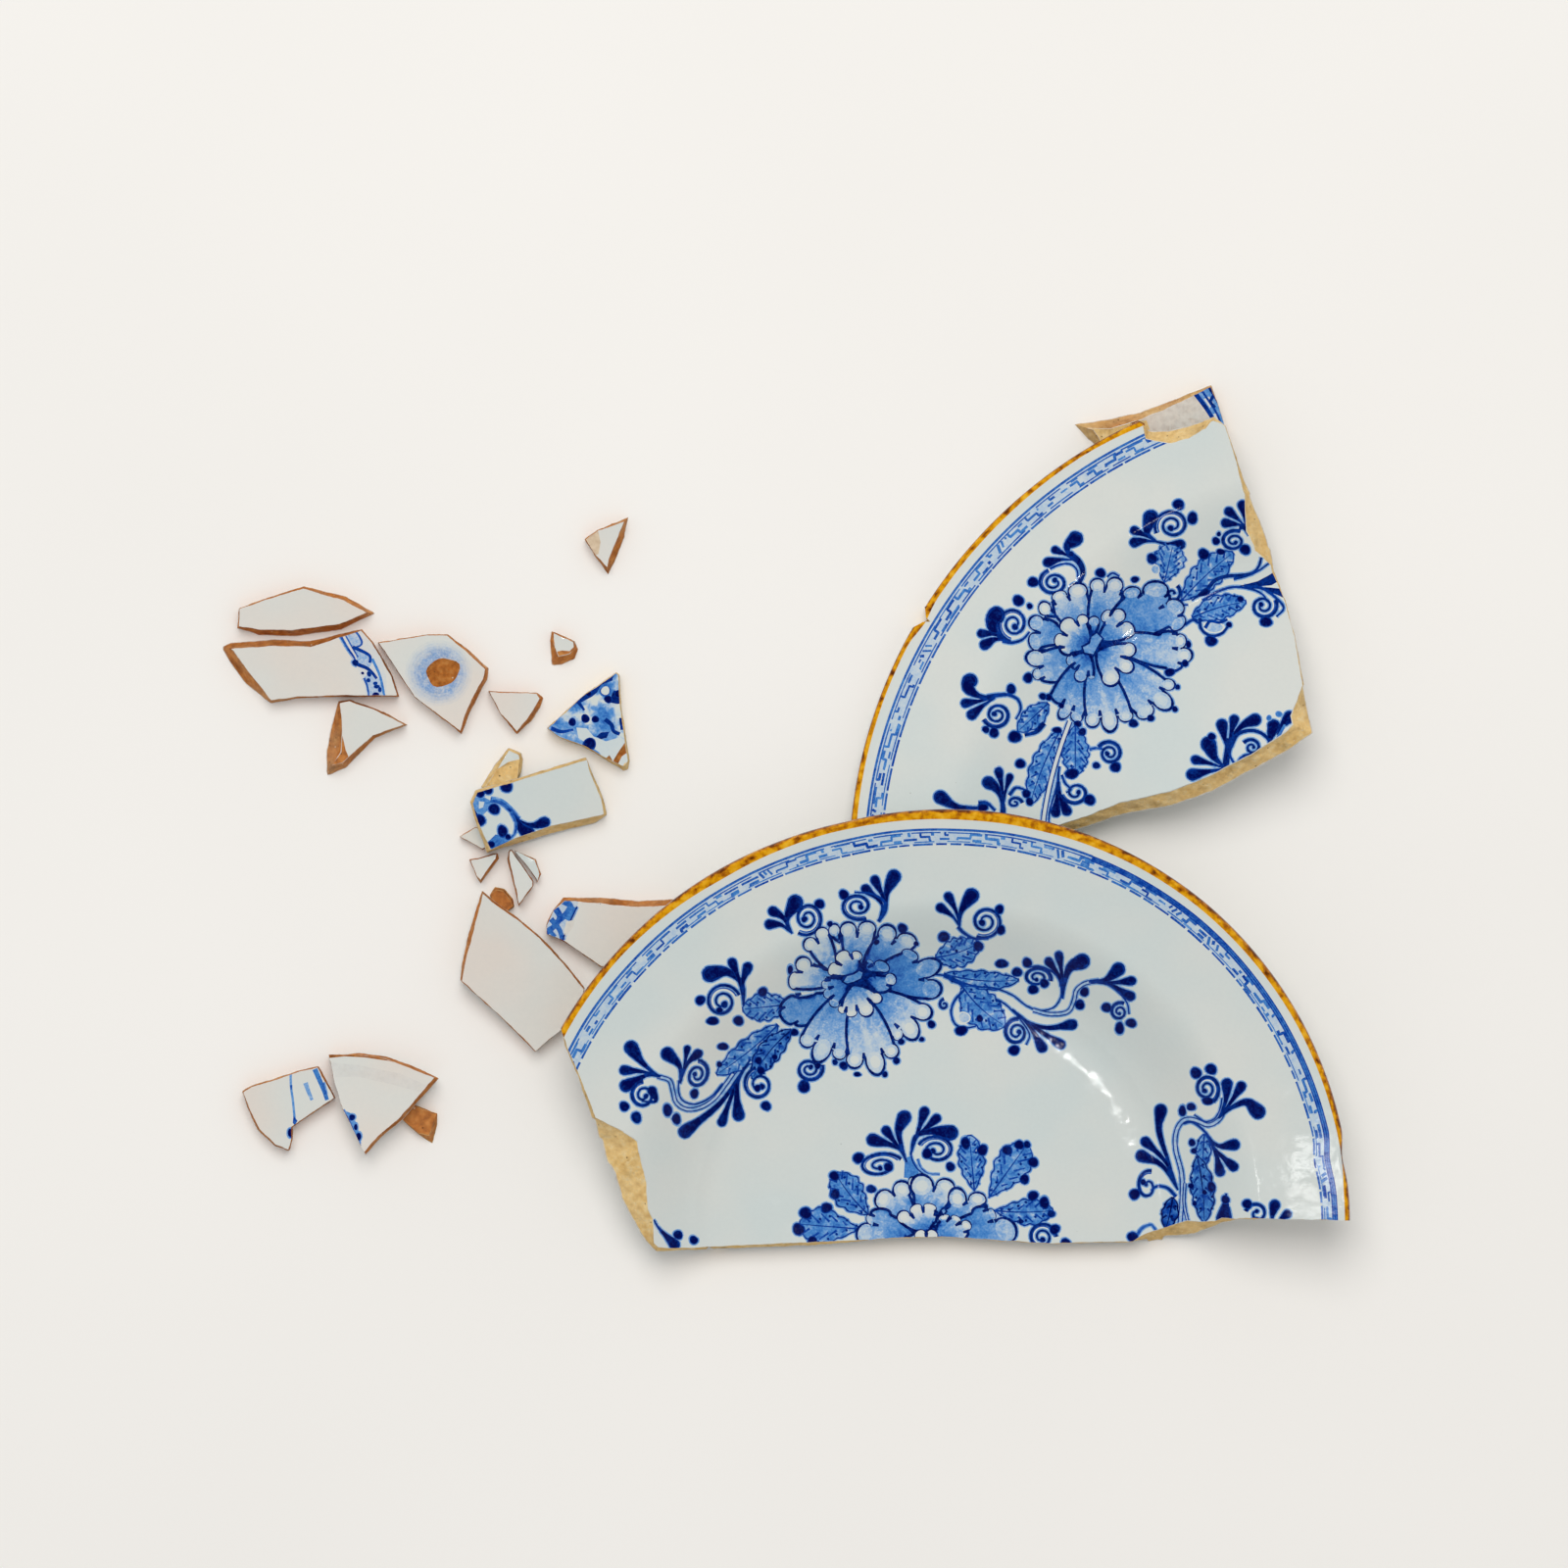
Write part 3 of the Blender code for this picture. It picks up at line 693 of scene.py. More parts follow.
class Painting:
    """Brush strokes on a sherd's front. A later one lies over an earlier one.

    Under them all lie the pale edges where the dark strokes have bled into the glaze.
    """

    def __init__(self, sherd):
        self.sherd = sherd
        self.outlines = []
        self.tones = []
        self.bare_strokes = []
        self.bled = 0

    def stroke(self, outline, tone, on_table=True):
        """A closed stroke. Its tone is the depth of blue, ochre and soil, or gives them at points."""
        outline = np.asarray(outline, float)
        self.outlines.append(self.sherd.from_table(outline) if on_table else outline)
        self.tones.append(tone)

    def bleed(self, outline):
        """A pale edge, under all the strokes so far."""
        self.outlines.insert(self.bled, self.sherd.from_table(np.asarray(outline, float)))
        self.tones.insert(self.bled, blue(0.22))
        self.bare_strokes = [number + 1 for number in self.bare_strokes]
        self.bled += 1

    def bare(self, outline, clay):
        """A patch where the glaze has come off the clay."""
        self.bare_strokes.append(len(self.outlines))
        self.stroke(outline, clay)

    def line(self, points, wide=0.42, narrow=None, depth=0.78):
        """A brush line, drawn through points."""
        path = curve(points)
        half = np.linspace(wide, wide if narrow is None else narrow, len(path)) * 0.58
        if depth > BLEEDS_FROM:
            self.bleed(ribbon(path, half + BLEED))
        self.stroke(ribbon(path, half), blue(depth))

    def stem(self, points, width=1.0, wash=0.16):
        """Two lines side by side with a pale wash between them."""
        path = curve(points)
        half = np.full(len(path), width / 2 + 0.08)
        self.bleed(ribbon(path, half + BLEED))
        self.stroke(ribbon(path, half), blue(0.78))
        self.stroke(ribbon(path, half - 0.36), blue(wash))

    def dot(self, x, y, wide=1.4, tall=None, depth=0.9):
        """A round touch of the brush, darkest in its middle."""
        turn = np.linspace(0, 2 * math.pi, 16, endpoint=False)
        lean = math.sin(7.3 * x + 3.1 * y)
        swell = 1 + 0.06 * np.sin(2 * turn + 3 * lean) + 0.04 * np.sin(3 * turn + 5 * lean)
        ring = on_circle(turn) * (wide, tall or wide) * swell[:, None]
        if depth > BLEEDS_FROM:
            self.bleed(ring * (1 + BLEED / wide) + (x, y))
        self.stroke(ring + (x, y), blue(depth - 0.14))
        self.stroke(ring * 0.8 + (x, y), blue(depth + 0.1))

    def dots(self, *places):
        for place in places:
            self.dot(*place)

    def drop(self, radius, *points):
        """A comma of the brush through points, from a fine tail to a round, dark head."""
        path = curve(points, 0.7)
        left = np.linalg.norm(path[1:] - path[:-1], axis=1)[::-1].cumsum()[::-1]
        left = np.append(left, 0.0)
        share = 1 - left / left[0]
        half = radius * (0.14 + 0.5 * share ** 1.2 + 0.36 * smooth_step(1 - left / (2.8 * radius)))
        along = path[-1] - path[-2]
        along /= np.linalg.norm(along)
        side = np.array([-along[1], along[0]])
        turn = np.linspace(math.pi / 2, -math.pi / 2, 9)[1:-1]
        cap = np.sin(turn)[:, None] * side + np.cos(turn)[:, None] * along
        for size, start, depth in ((1.0, 0.0, 0.84), (0.7, 0.4, 0.98)):
            some = path[share >= start] if (share >= start).sum() > 3 else path[-4:]
            body = ribbon(some, half[-len(some):] * size)
            head = path[-1] + cap * radius * size
            outline = np.vstack([body[:len(some)], head, body[len(some):]])
            if size == 1.0:
                self.bleed(shrunk(outline, -BLEED))
            self.stroke(outline, blue(depth))

    def spray(self, base, *drops):
        """Drops that spring from one point: each is its radius, then where it goes through, then its head."""
        for radius, *points in drops:
            self.drop(radius, base, *points)

    def curl(self, x, y, wide, tall, start, way=1, turns=1.9, lean=0.0):
        """A ribbon rolled inwards: from the angle start, round to the left if way is 1."""
        t = np.linspace(0, 1, int(16 * turns + 3 * wide))
        angle = math.radians(start) + way * 2 * math.pi * turns * t
        tilt = math.radians(lean)
        turned = np.array([[math.cos(tilt), math.sin(tilt)], [-math.sin(tilt), math.cos(tilt)]])
        size = np.array([wide, tall])

        def rolled(share):
            return on_circle(angle) * share[:, None] * size @ turned + (x, y)

        reach = 1 - 0.8 * t ** 0.85
        outer, band = rolled(reach), rolled(reach - 0.17 * (1 - t))
        half = np.linspace(0.46, 0.32, len(t))
        part = int(len(t) * 0.5)
        self.stroke(np.vstack([outer[:part], band[:part][::-1]]), blue(0.2))
        self.bleed(ribbon(outer, half + BLEED))
        self.stroke(ribbon(band[:part], np.linspace(0.22, 0.1, part)), blue(0.62))
        self.stroke(ribbon(outer, half), blue(0.86))
        self.dot(*outer[-1], 0.2 * min(wide, tall), depth=0.84)

    def leaf(self, base, tip, width, bend=0.0, depth=0.42, teeth=5, veins=6, fat=1.0):
        """A feathered leaf: a mottled wash, a darker toothed edge, a rib and short veins."""
        base, tip = np.array(base, float), np.array(tip, float)
        run = tip - base
        length = np.linalg.norm(run)
        control = (base + tip) / 2 + np.array([-run[1], run[0]]) * bend
        t = np.linspace(0, 1, int(12 + length * 1.6))
        path = ((1 - t) ** 2)[:, None] * base + (2 * t * (1 - t))[:, None] * control + (t ** 2)[:, None] * tip
        half = width / 2 * np.sin(math.pi * np.clip(t, 0.02, 0.985) ** fat) ** 0.65
        tooth = 1 - 0.15 * np.abs(np.cos(math.pi * teeth * t)) ** 3
        self.bleed(ribbon(path, half * tooth + BLEED))
        self.stroke(ribbon(path, half * tooth), blue(depth + 0.32))

        def mottled(points):
            return np.array([blue(depth - 0.06 + 0.3 * noise_at(x * 0.45, y * 0.45, 3.0)
                                  + 0.22 * noise_at(x * 1.3, y * 1.3, 9.0)) for x, y in points])

        self.stroke(ribbon(path[1:-1], np.maximum(half * tooth - 0.5, 0.05)[1:-1]), mottled)
        self.stroke(ribbon(path[1:-2], np.linspace(0.26, 0.1, len(path) - 3)), blue(depth + 0.32))
        for k in range(1, veins + 1):
            i = int(len(path) * k / (veins + 1.4))
            along = (path[i + 1] - path[i - 1]) / np.linalg.norm(path[i + 1] - path[i - 1])
            side = np.array([-along[1], along[0]])
            for way in (1, -1):
                near = 0.25 + 0.12 * math.sin(5 * k + way)
                start = path[i] + side * way * half[i] * near
                end = path[i] + side * way * half[i] * (near + 0.42) + along * half[i] * 0.5
                self.line([start, end], 0.6, 0.3, depth + 0.24)
                speck = path[i] + side * way * half[i] * (0.25 + 0.6 * abs(math.sin(9 * k + 4 * way)))
                self.dot(*speck, 0.42, depth=depth + 0.34)

    def petal(self, base, deep, pale, edge):
        """A scalloped petal. Its edge is cusps, and between two how far its lobe bulges for its width.

        The wash is deep by the base and pale by the lobes, which are left white where pale is low.
        """
        base = np.array(base, float)
        cusps, bulges = [np.array(point, float) for point in edge[::2]], edge[1::2]
        outline, lobes = list(self.flank(base, cusps[0], cusps[1])), []
        for p, q, bulge in zip(cusps, cusps[1:], bulges):
            run = q - p
            out = np.array([run[1], -run[0]])
            out = out if out @ ((p + q) / 2 - base) > 0 else -out
            turn = np.linspace(math.pi, 0, 13 if bulge > 0.2 else 5)[:-1, None]
            outline += list((p + q) / 2 + run / 2 * np.cos(turn) * (1 + 0.25 * min(bulge, 1) * np.sin(turn))
                            + out * bulge * np.sin(turn))
            if bulge > 0.35:
                lobes.append(((p + q) / 2 + out * bulge * 0.28, run * 0.42, out * bulge * 0.52))
        outline = np.array(outline + list(self.flank(base, cusps[-1], cusps[-2])[::-1]))
        self.bleed(shrunk(outline, -BLEED))
        self.stroke(outline, blue(0.92))
        edge = shrunk(outline, 0.86)
        reach = max(np.linalg.norm(cusp - base) for cusp in cusps)

        def wash(points):
            away = np.linalg.norm(points - base, axis=1) / reach
            angle = np.arctan2(points[:, 1] - base[1], points[:, 0] - base[0])
            streak = np.array([noise_at(a * 9.0, b * 1.2, reach) for a, b in zip(angle, away)])
            tone = pale * 0.8 + (deep - pale * 0.8) * smooth_step(1.08 - away * 1.2)
            tone += 0.25 * streak * (1.1 - away)
            tone += (0.06 + 0.3 * smooth_step(1.25 - away)) * (gaps(points, edge).min(1) < 0.12)
            return np.column_stack([np.clip(tone, 0.02, 1), np.zeros((len(away), 2))])

        def faded(points):
            return wash(points) * 0.6

        self.stroke(edge, wash)
        turn = np.linspace(0, 2 * math.pi, 14, endpoint=False)[:, None]
        for middle, across, out in lobes:
            lobe = across * np.cos(turn) + out * np.sin(turn)
            self.stroke(middle + lobe, faded)
            self.stroke(middle + 0.6 * lobe, blue(max(0.0, pale - 0.14)))
        for cusp in cusps[1:-1]:
            self.line([cusp, cusp + (base - cusp) * 1.8 / np.linalg.norm(base - cusp)], 1.1, 0.6, 0.9)

    def flank(self, base, cusp, other):
        """A petal's side from its base to a cusp, swollen away from its other side."""
        run = cusp - base
        out = np.array([run[1], -run[0]])
        out = out if out @ (cusp - other) > 0 else -out
        t = np.linspace(0.04, 1, 7)[:, None]
        return base + run * t + out * 0.34 * t * (1 - t)

    def flower(self, petals, core):
        """Petals from the outermost to the innermost, then the little pale core in its dark ring."""
        self.dot(*np.mean(core, axis=0), 7.0, depth=0.78)
        for petal in petals:
            self.petal(*petal)
        core = np.array(core, float)
        self.stroke(shrunk(core, -0.7), blue(0.9))
        self.stroke(core, blue(0.3))

    def tones_at(self, points, tops):
        """The paint at corners, each of which is given with its topmost stroke."""
        found = np.zeros((len(points), 3))
        table = self.sherd.on_table(points)
        for top in np.unique(tops[tops >= 0]):
            here = tops == top
            tone = self.tones[top]
            found[here] = tone(table[here]) if callable(tone) else tone
        return found


# The border's patterns: how often each comes, how long it is, and its strokes. A stroke has its corners,
# as shares of the pattern's length and of the way across the border, its width and how much paler it is.
KEY_PATTERNS = {
    "hook": (0.24, 6.4, (([(-0.05, 0.14), (0.5, 0.14), (0.5, 0.62), (0.95, 0.62)], 0.62, 0.0),
                         ([(0.0, 0.86), (0.8, 0.86)], 0.5, 0.1))),
    "steps": (0.26, 7.0, (([(0, 0.2), (0.42, 0.2), (0.42, 0.55), (0.9, 0.55), (0.9, 0.95)], 0.6, 0.0),
                          ([(0.0, 0.75), (0.34, 0.75)], 0.6, 0.08))),
    "slants": (0.16, 4.4, tuple(([(k, 0.1), (k + 0.26, 0.85)], 0.66, 0.0) for k in (0.02, 0.36, 0.7))),
    "bars": (0.2, 5.4, (([(0.05, 0.35), (0.9, 0.35)], 0.6, 0.0),
                        ([(0.1, 0.7), (0.55, 0.7), (0.55, 1.0)], 0.6, 0.0))),
    "open": (0.14, 3.4, (([(0.1, 0.4), (0.95, 0.4)], 0.5, 0.1),)),
}


class Border:
    """The painted border of a rim, laid out by angle round the plate and distance in from its edge."""

    def __init__(self, brush, seed):
        self.brush = brush
        self.sherd = brush.sherd
        self.rng = np.random.default_rng(seed)

    def band(self, start, end, outer, inner, tone):
        """A band between two distances in from the edge, each a number or a function of the angle."""
        count = int(abs(end - start) * self.sherd.radius / 1.4) + 2
        angle = np.linspace(start, end, count)
        edges = [edge(angle) if callable(edge) else np.full(count, edge) for edge in (outer, inner)]
        outline = np.vstack([self.places(angle, edges[0]), self.places(angle, edges[1])[::-1]])
        self.brush.stroke(outline, tone, on_table=False)

    def places(self, angle, inward):
        return on_circle(angle, self.sherd.radius - np.asarray(inward, float))

    def ring(self, start, end, inward, width, depth, dash=0.0, gap=0.0):
        """A thin line round the plate, whole or in dashes. Its distance is a function of the angle."""
        at = start
        while at < end:
            until = min(end, at + dash * self.rng.uniform(0.6, 1.5) / self.sherd.radius) if dash else end
            half = width / 2 * self.rng.uniform(0.85, 1.15)
            self.band(at, until, lambda angle: inward(angle) - half, lambda angle: inward(angle) + half,
                      blue(depth + self.rng.uniform(-0.06, 0.06)))
            at = until + gap * self.rng.uniform(0.5, 1.6) / self.sherd.radius

    def key(self, start, end, outer, inner, depth):
        """Meanders, steps and slanting strokes between two circles."""
        at = start
        while at < end:
            kind = self.rng.choice(list(KEY_PATTERNS), p=[share for share, _, _ in KEY_PATTERNS.values()])
            _, long, strokes = KEY_PATTERNS[kind]
            turn = long * self.rng.uniform(0.8, 1.25) / self.sherd.radius
            flip = self.rng.random() < 0.5
            for points, width, paler in strokes:
                self.path(at, turn, outer, inner, points, flip, width, depth - paler)
            at += turn * 1.05

    def path(self, at, turn, outer, inner, points, flip, width, depth):
        """A stroke whose corners are shares of a cell's width and of the distance across the band."""
        points = np.array(points, float)
        if flip:
            points[:, 1] = 1 - points[:, 1]
        fine = np.vstack([np.linspace(p, q, 4, endpoint=False) for p, q in zip(points, points[1:])]
                         + [points[-1:]])
        angle = at + fine[:, 0] * turn
        low, high = outer(angle), inner(angle)
        places = self.places(angle, low + (high - low) * fine[:, 1])
        depth += self.rng.uniform(-0.14, 0.12)
        width *= self.rng.uniform(0.9, 1.45)
        cut = int(self.rng.integers(0, 4))
        places = places[cut:] if flip else places[:len(places) - cut]
        self.brush.stroke(ribbon(places, np.full(len(places), width / 2)), blue(depth), on_table=False)

    def ochre(self, start, end, inner):
        """The ochre edging, from over the lip to its wavering inner edge."""
        sherd = self.sherd

        def tone(points):
            local = sherd.from_table(points)
            inward = sherd.radius - np.hypot(local[:, 0], local[:, 1])
            along = np.arctan2(local[:, 1], local[:, 0]) * sherd.radius
            speck = np.array([noise_at(a * 0.34, b * 0.9, 5.0) for a, b in zip(along, inward)])
            depth = 0.36 + 0.55 * np.exp(-np.maximum(inward, 0) / 0.7) + 0.9 * np.clip(speck, 0, 1)
            return np.column_stack([np.zeros(len(depth)), np.clip(depth, 0.3, 1), np.zeros(len(depth))])

        self.band(start, end, -4.0, inner, tone)


def along_rim(*stops):
    """A distance that changes smoothly round the rim, given at angles in degrees."""
    angles, values = zip(*stops)

    def distance(angle):
        degrees = np.degrees(angle)
        return sum(np.interp(degrees + nearby, angles, values) for nearby in (-1.2, -0.4, 0.4, 1.2)) / 4

    return distance


def shifted(distance, amount):
    return lambda angle: distance(angle) + amount


def front_normals(sherd, points, height):
    """Unit normals of the front, which turns out and down over the lip."""
    step = 0.05
    rise = [(height(points + np.array(way) * step) - height(points - np.array(way) * step)) / (2 * step)
            for way in ((1, 0), (0, 1))]
    normals = np.column_stack([-rise[0], -rise[1], np.ones(len(points))])
    return unit(lip_normals(sherd, points, normals) if sherd.radius else normals)


def lip_normals(sherd, points, normals):
    """Those normals, with the rounded lip's own where the points are on it."""
    reach = np.hypot(points[:, 0], points[:, 1])
    inward = sherd.radius - reach
    tall = (flange_to_well(LIP_ROUND) - under_wall(LIP_ROUND)) / 2
    over = np.clip((LIP_ROUND - inward) / LIP_ROUND, 0, 1)
    up = np.sqrt(1 - over ** 2)
    outward = over * tall / LIP_ROUND - FLANGE_FALL_PER_MM * up
    lip = np.column_stack([points / reach[:, None] * outward[:, None], up])
    return np.where((inward < LIP_ROUND + 0.05)[:, None], lip, normals)


class Meshed:
    """A sherd's fine mesh: its front with the painting cut in, its plain back, and its break."""

    def __init__(self, sherd, painting, clay):
        self.sherd = sherd
        height = TURNED_WAVES if sherd.radius else SLAB_WAVES

        def surface(points):
            return sherd.front(points) + waves(points, sherd.seed, height)

        loop = fine_outline(sherd)
        loose = scattered(loop, FRONT_STEP, sherd.seed)
        lines = []
        if sherd.radius:
            loose = loose[np.hypot(loose[:, 0], loose[:, 1]) < sherd.radius - LIP_ROUND - 0.5]
            lines = rings_inside(sherd, loop, LIP_RINGS, FRONT_RING_STEP)
        front, faces, _ = triangulated(loop, painting.outlines, lines, loose)
        tops = topmost(front, faces, painting.outlines)
        self.edge = np.array(rim_loop(faces, np.ones(len(faces), bool)))
        self.rim = sherd.is_rim(front[self.edge])
        self.rim &= np.abs(np.hypot(*front[self.edge].T) - (sherd.radius or 1e9)) < 0.01
        self.bare = np.isin(tops, painting.bare_strokes)
        normals = front_normals(sherd, front, surface)[faces].reshape(-1, 3)
        normals[np.repeat(self.bare, 3)] = 0.0
        place = np.column_stack([front, surface(front)])
        glazed = np.zeros(len(front), bool)
        glazed[faces[~self.bare]] = True
        glazed[self.edge] = True
        place[~glazed, 2] += [grain_of(point, sherd.seed) * SPALL_ROUGH - SPALL_DEPTH
                              for point in place[~glazed]]
        self.points = [place]
        self.faces = [faces]
        self.paint = [painting.tones_at(front[faces].reshape(-1, 2), np.repeat(tops, 3))]
        self.normals = [normals]
        self.count = len(front)
        self.add_back(front[self.edge], clay if self.bare.all() else (0.0, 0.0, 0.0))
        self.add_break(clay)

    def add_back(self, edge, tone):
        """The plain back, inside the outline that the front's edge runs down to."""
        sherd = self.sherd
        partner = worn_back(partners(edge, sherd.back_outline), self.rim, sherd.seed + 7)
        partner[self.rim] = edge[self.rim]
        loose = scattered(partner, BACK_STEP, sherd.seed + 3)
        lines = []
        if sherd.radius:
            inward = sherd.radius - np.hypot(loose[:, 0], loose[:, 1])
            foot = (inward > FOOT_CORNERS[0] - 0.6) & (inward < FOOT_CORNERS[-1] + 0.6)
            loose = loose[(inward > LIP_ROUND + 0.8) & ~foot]
            lines = rings_inside(sherd, partner, LIP_RINGS + FOOT_CORNERS, BACK_RING_STEP)
        back, faces, corners = triangulated(partner, [], lines, loose)
        if (corners < 0).any():
            raise RuntimeError(f"{sherd.node}: the back lost {(corners < 0).sum()} edge points")
        index = np.arange(len(back)) + self.count
        index[corners[self.rim]] = self.edge[self.rim]
        self.back_edge = index[corners]
        self.points.append(np.column_stack([back, sherd.back(back)]))
        self.faces.append(index[faces[:, ::-1]])
        self.count += len(back)
        self.paint.append(np.tile(tone, (faces.size, 1)))
        self.normals.append(np.zeros((faces.size, 3)))

    def add_break(self, clay):
        """Rows of corners from the front's edge down to the back's, standing out and in as clay breaks."""
        sherd = self.sherd
        place = np.concatenate(self.points)
        top, bottom = place[self.edge], place[self.back_edge]
        deep = np.linalg.norm(bottom - top, axis=1)
        thin = np.clip(GLAZE_THICK / np.maximum(deep, 1e-6), 0, 0.2)
        rows = np.column_stack([np.zeros(len(top))]
                               + [thin + (1 - 2 * thin) * share for share in np.linspace(0, 1, BREAK_ROWS)]
                               + [np.ones(len(top))])
        outward = unit(np.cross(bottom - top, onward(top)))
        last = rows.shape[1] - 1
        index = np.zeros((len(top), last + 1), int)
        index[:, 0], index[:, last] = self.edge, self.back_edge
        for number in range(1, last):
            share = rows[:, number]
            level = top + (bottom - top) * share[:, None]
            fade = np.minimum(1, 4 * np.minimum(share, 1 - share))
            rough = np.array([grain_of(point, sherd.seed) for point in level])
            self.points.append(level + outward * (rough * fade * np.minimum(1, deep / 2))[:, None])
            index[:, number] = np.where(self.rim, self.edge, self.count + np.arange(len(top)))
            self.count += len(top)
        faces = split_cells(index, np.roll(index, -1, axis=0))
        real = (faces[:, 0] != faces[:, 1]) & (faces[:, 1] != faces[:, 2]) & (faces[:, 0] != faces[:, 2])
        faces, row = faces[real], np.tile(np.arange(last), 2 * len(top))[real]
        step = np.linalg.norm(np.roll(top, -1, axis=0) - top, axis=1) * ~self.rim
        self.map = self.break_map(rows * deep[:, None], np.concatenate([[0.0], step.cumsum()]))[real]
        self.clay = (row > 0) & (row < last - 1)
        tones = break_tones(sherd, np.concatenate(self.points)[faces].reshape(-1, 3), clay)
        tones[np.repeat(row == 0, 3)] = UPPER_EDGE
        # The lower glazed edge is made dark: a thin dark line round the sherd's foot
        tones[np.repeat(row == last - 1, 3)] = LOWER_EDGE
        self.faces.append(faces)
        self.paint.append(tones)
        self.normals.append(np.zeros((faces.size, 3)))

    def break_map(self, down, along):
        """The break rolled out in lines one under another. Down and along it are in millimetres."""
        place = np.concatenate(self.points)[:, :2]
        length = 0.9 * np.ptp(place[self.edge], axis=0).max()
        line = along[:-1] // length
        drop = (line * (down.max() + 1.6))[:, None]
        start = (along[:-1] - line * length)[:, None]
        end = start + np.diff(along)[:, None]
        here = np.stack([np.broadcast_to(start, down.shape), down + drop], axis=2)
        ahead = np.stack([np.broadcast_to(end, down.shape), np.roll(down, -1, axis=0) + drop], axis=2)
        return split_cells(here, ahead)


def split_cells(here, ahead):
    """Two triangles for each cell between columns of a grid and the columns ahead of them."""
    upper = np.stack([here[:, :-1], here[:, 1:], ahead[:, 1:]], axis=2)
    lower = np.stack([here[:, :-1], ahead[:, 1:], ahead[:, :-1]], axis=2)
    return np.concatenate([half.reshape(-1, *half.shape[2:]) for half in (upper, lower)])


def flat_map(meshed):
    """The whole surface laid flat: the front in plan, and under it the back and the break at half size."""
    place = np.concatenate(meshed.points)[:, :2]
    if np.ptp(place[meshed.edge], axis=0).argmax():
        place = np.column_stack([place[:, 1], -place[:, 0]])
    front, back = [place[faces].reshape(-1, 2) for faces in meshed.faces[:2]]
    front = front - front.min(0)
    wide = front[:, 0].max()
    gap = 0.012 * wide
    back = back * (-0.5, 0.5)
    back += (0.0, -gap) - np.array([back[:, 0].min(), back[:, 1].max()])
    strips = meshed.map.reshape(-1, 2) * (0.48, -0.5)
    strips += (0.5 * wide + 2 * gap, -gap) - np.array([0.0, strips[:, 1].max()])
    flat = np.vstack([front, back, strips])
    flat -= flat.min(0)
    return 0.003 + 0.994 * flat / flat.max()


def break_tones(sherd, points, clay):
    """How pale, rusty and soiled the broken clay is at each place: clay gives its usual tones."""
    tones = np.tile(np.asarray(clay, float), (len(points), 1))
    for i, point in enumerate(points):
        place = Vector(point) + Vector((0, 0, sherd.seed * 2.7))
        tones[i, 0] += 0.35 * noise.noise(place * 0.16)
        tones[i, 1] += 0.35 * noise.noise(place * 0.12 + Vector((9, 0, 0)))
        tones[i, 2] += 0.45 * max(0.0, noise.noise(place * 0.22 + Vector((0, 9, 0))))
    return np.clip(tones, 0, 1)


def grain_of(point, seed):
    """How far a broken face stands out or in at a place: coarse lumps with a finer grain."""
    place = Vector(point) + Vector((seed * 3.1, 0, 0))
    return (0.42 * noise.noise(place * 0.3) + 0.2 * noise.noise(place * 0.9)
            + 0.1 * noise.noise(place * 2.3) - 0.12)


def mesh_object(name, meshed, materials):
    """The sherd as an object in its place, with its paint and normals on the corners of its faces."""
    sherd = meshed.sherd
    points = np.concatenate(meshed.points)
    faces = np.concatenate(meshed.faces)
    used, index = np.unique(faces, return_inverse=True)
    points, faces = moved(sherd.settled(points[used]), sherd.pose), index.reshape(-1, 3)
    counts = [len(part) for part in meshed.faces]
    mesh = bpy.data.meshes.new(name)
    mesh.from_pydata((points * MM).tolist(), [], faces.tolist())
    for material in materials:
        mesh.materials.append(material)
    material_index = np.concatenate([meshed.bare, np.zeros(counts[1], bool), meshed.clay]).astype(int)
    mesh.polygons.foreach_set("material_index", material_index)
    mesh.polygons.foreach_set("use_smooth", np.ones(len(faces), bool))
    paint = mesh.attributes.new("paint", "FLOAT_COLOR", "CORNER")
    tones = np.column_stack([np.concatenate(meshed.paint), np.ones(len(faces) * 3)])
    paint.data.foreach_set("color", tones.astype(np.float32).ravel())
    flat = mesh.uv_layers.new(name="OFBake")
    flat.data.foreach_set("uv", flat_map(meshed).astype(np.float32).ravel())
    mark_sharp(mesh, points, faces, counts)
    normals = np.concatenate(meshed.normals) @ np.array(sherd.pose)[:3, :3].T
    mesh.normals_split_custom_set(normals.tolist())
    obj = bpy.data.objects.new(name, mesh)
    bpy.context.scene.collection.objects.link(obj)
    return obj


def mark_sharp(mesh, points, faces, counts):
    """Sharp edges where the glaze ends at a break, and wherever the back or the break turns."""
    _, normals, _ = face_facts(points, faces)
    group = np.repeat(np.arange(3), counts)
    sides = np.concatenate([faces[:, [0, 1]], faces[:, [1, 2]], faces[:, [2, 0]]])
    key = np.sort(sides, axis=1) @ np.array([len(points), 1])
    owner = np.tile(np.arange(len(faces)), 3)
    order = np.argsort(key, kind="stable")
    key, owner = key[order], owner[order]
    pair = np.flatnonzero(key[1:] == key[:-1])
    one, other = owner[pair], owner[pair + 1]
    cosine = (normals[one] * normals[other]).sum(1)
    broken = (group[one] != group[other]) & ((group[one] == 2) | (group[other] == 2))
    turned = (cosine < math.cos(SHARP_ANGLE)) & (group[one] > 0) & (group[other] > 0)
    sharp_keys = key[pair][broken | turned]
    ends = np.empty(len(mesh.edges) * 2, np.int32)
    mesh.edges.foreach_get("vertices", ends)
    edge_key = np.sort(ends.reshape(-1, 2).astype(np.int64), axis=1) @ np.array([len(points), 1])
    sharp = mesh.attributes.new("sharp_edge", "BOOLEAN", "EDGE")
    sharp.data.foreach_set("value", np.isin(edge_key, sharp_keys))


# ---------------------------------------------------------------- the painting of each sherd

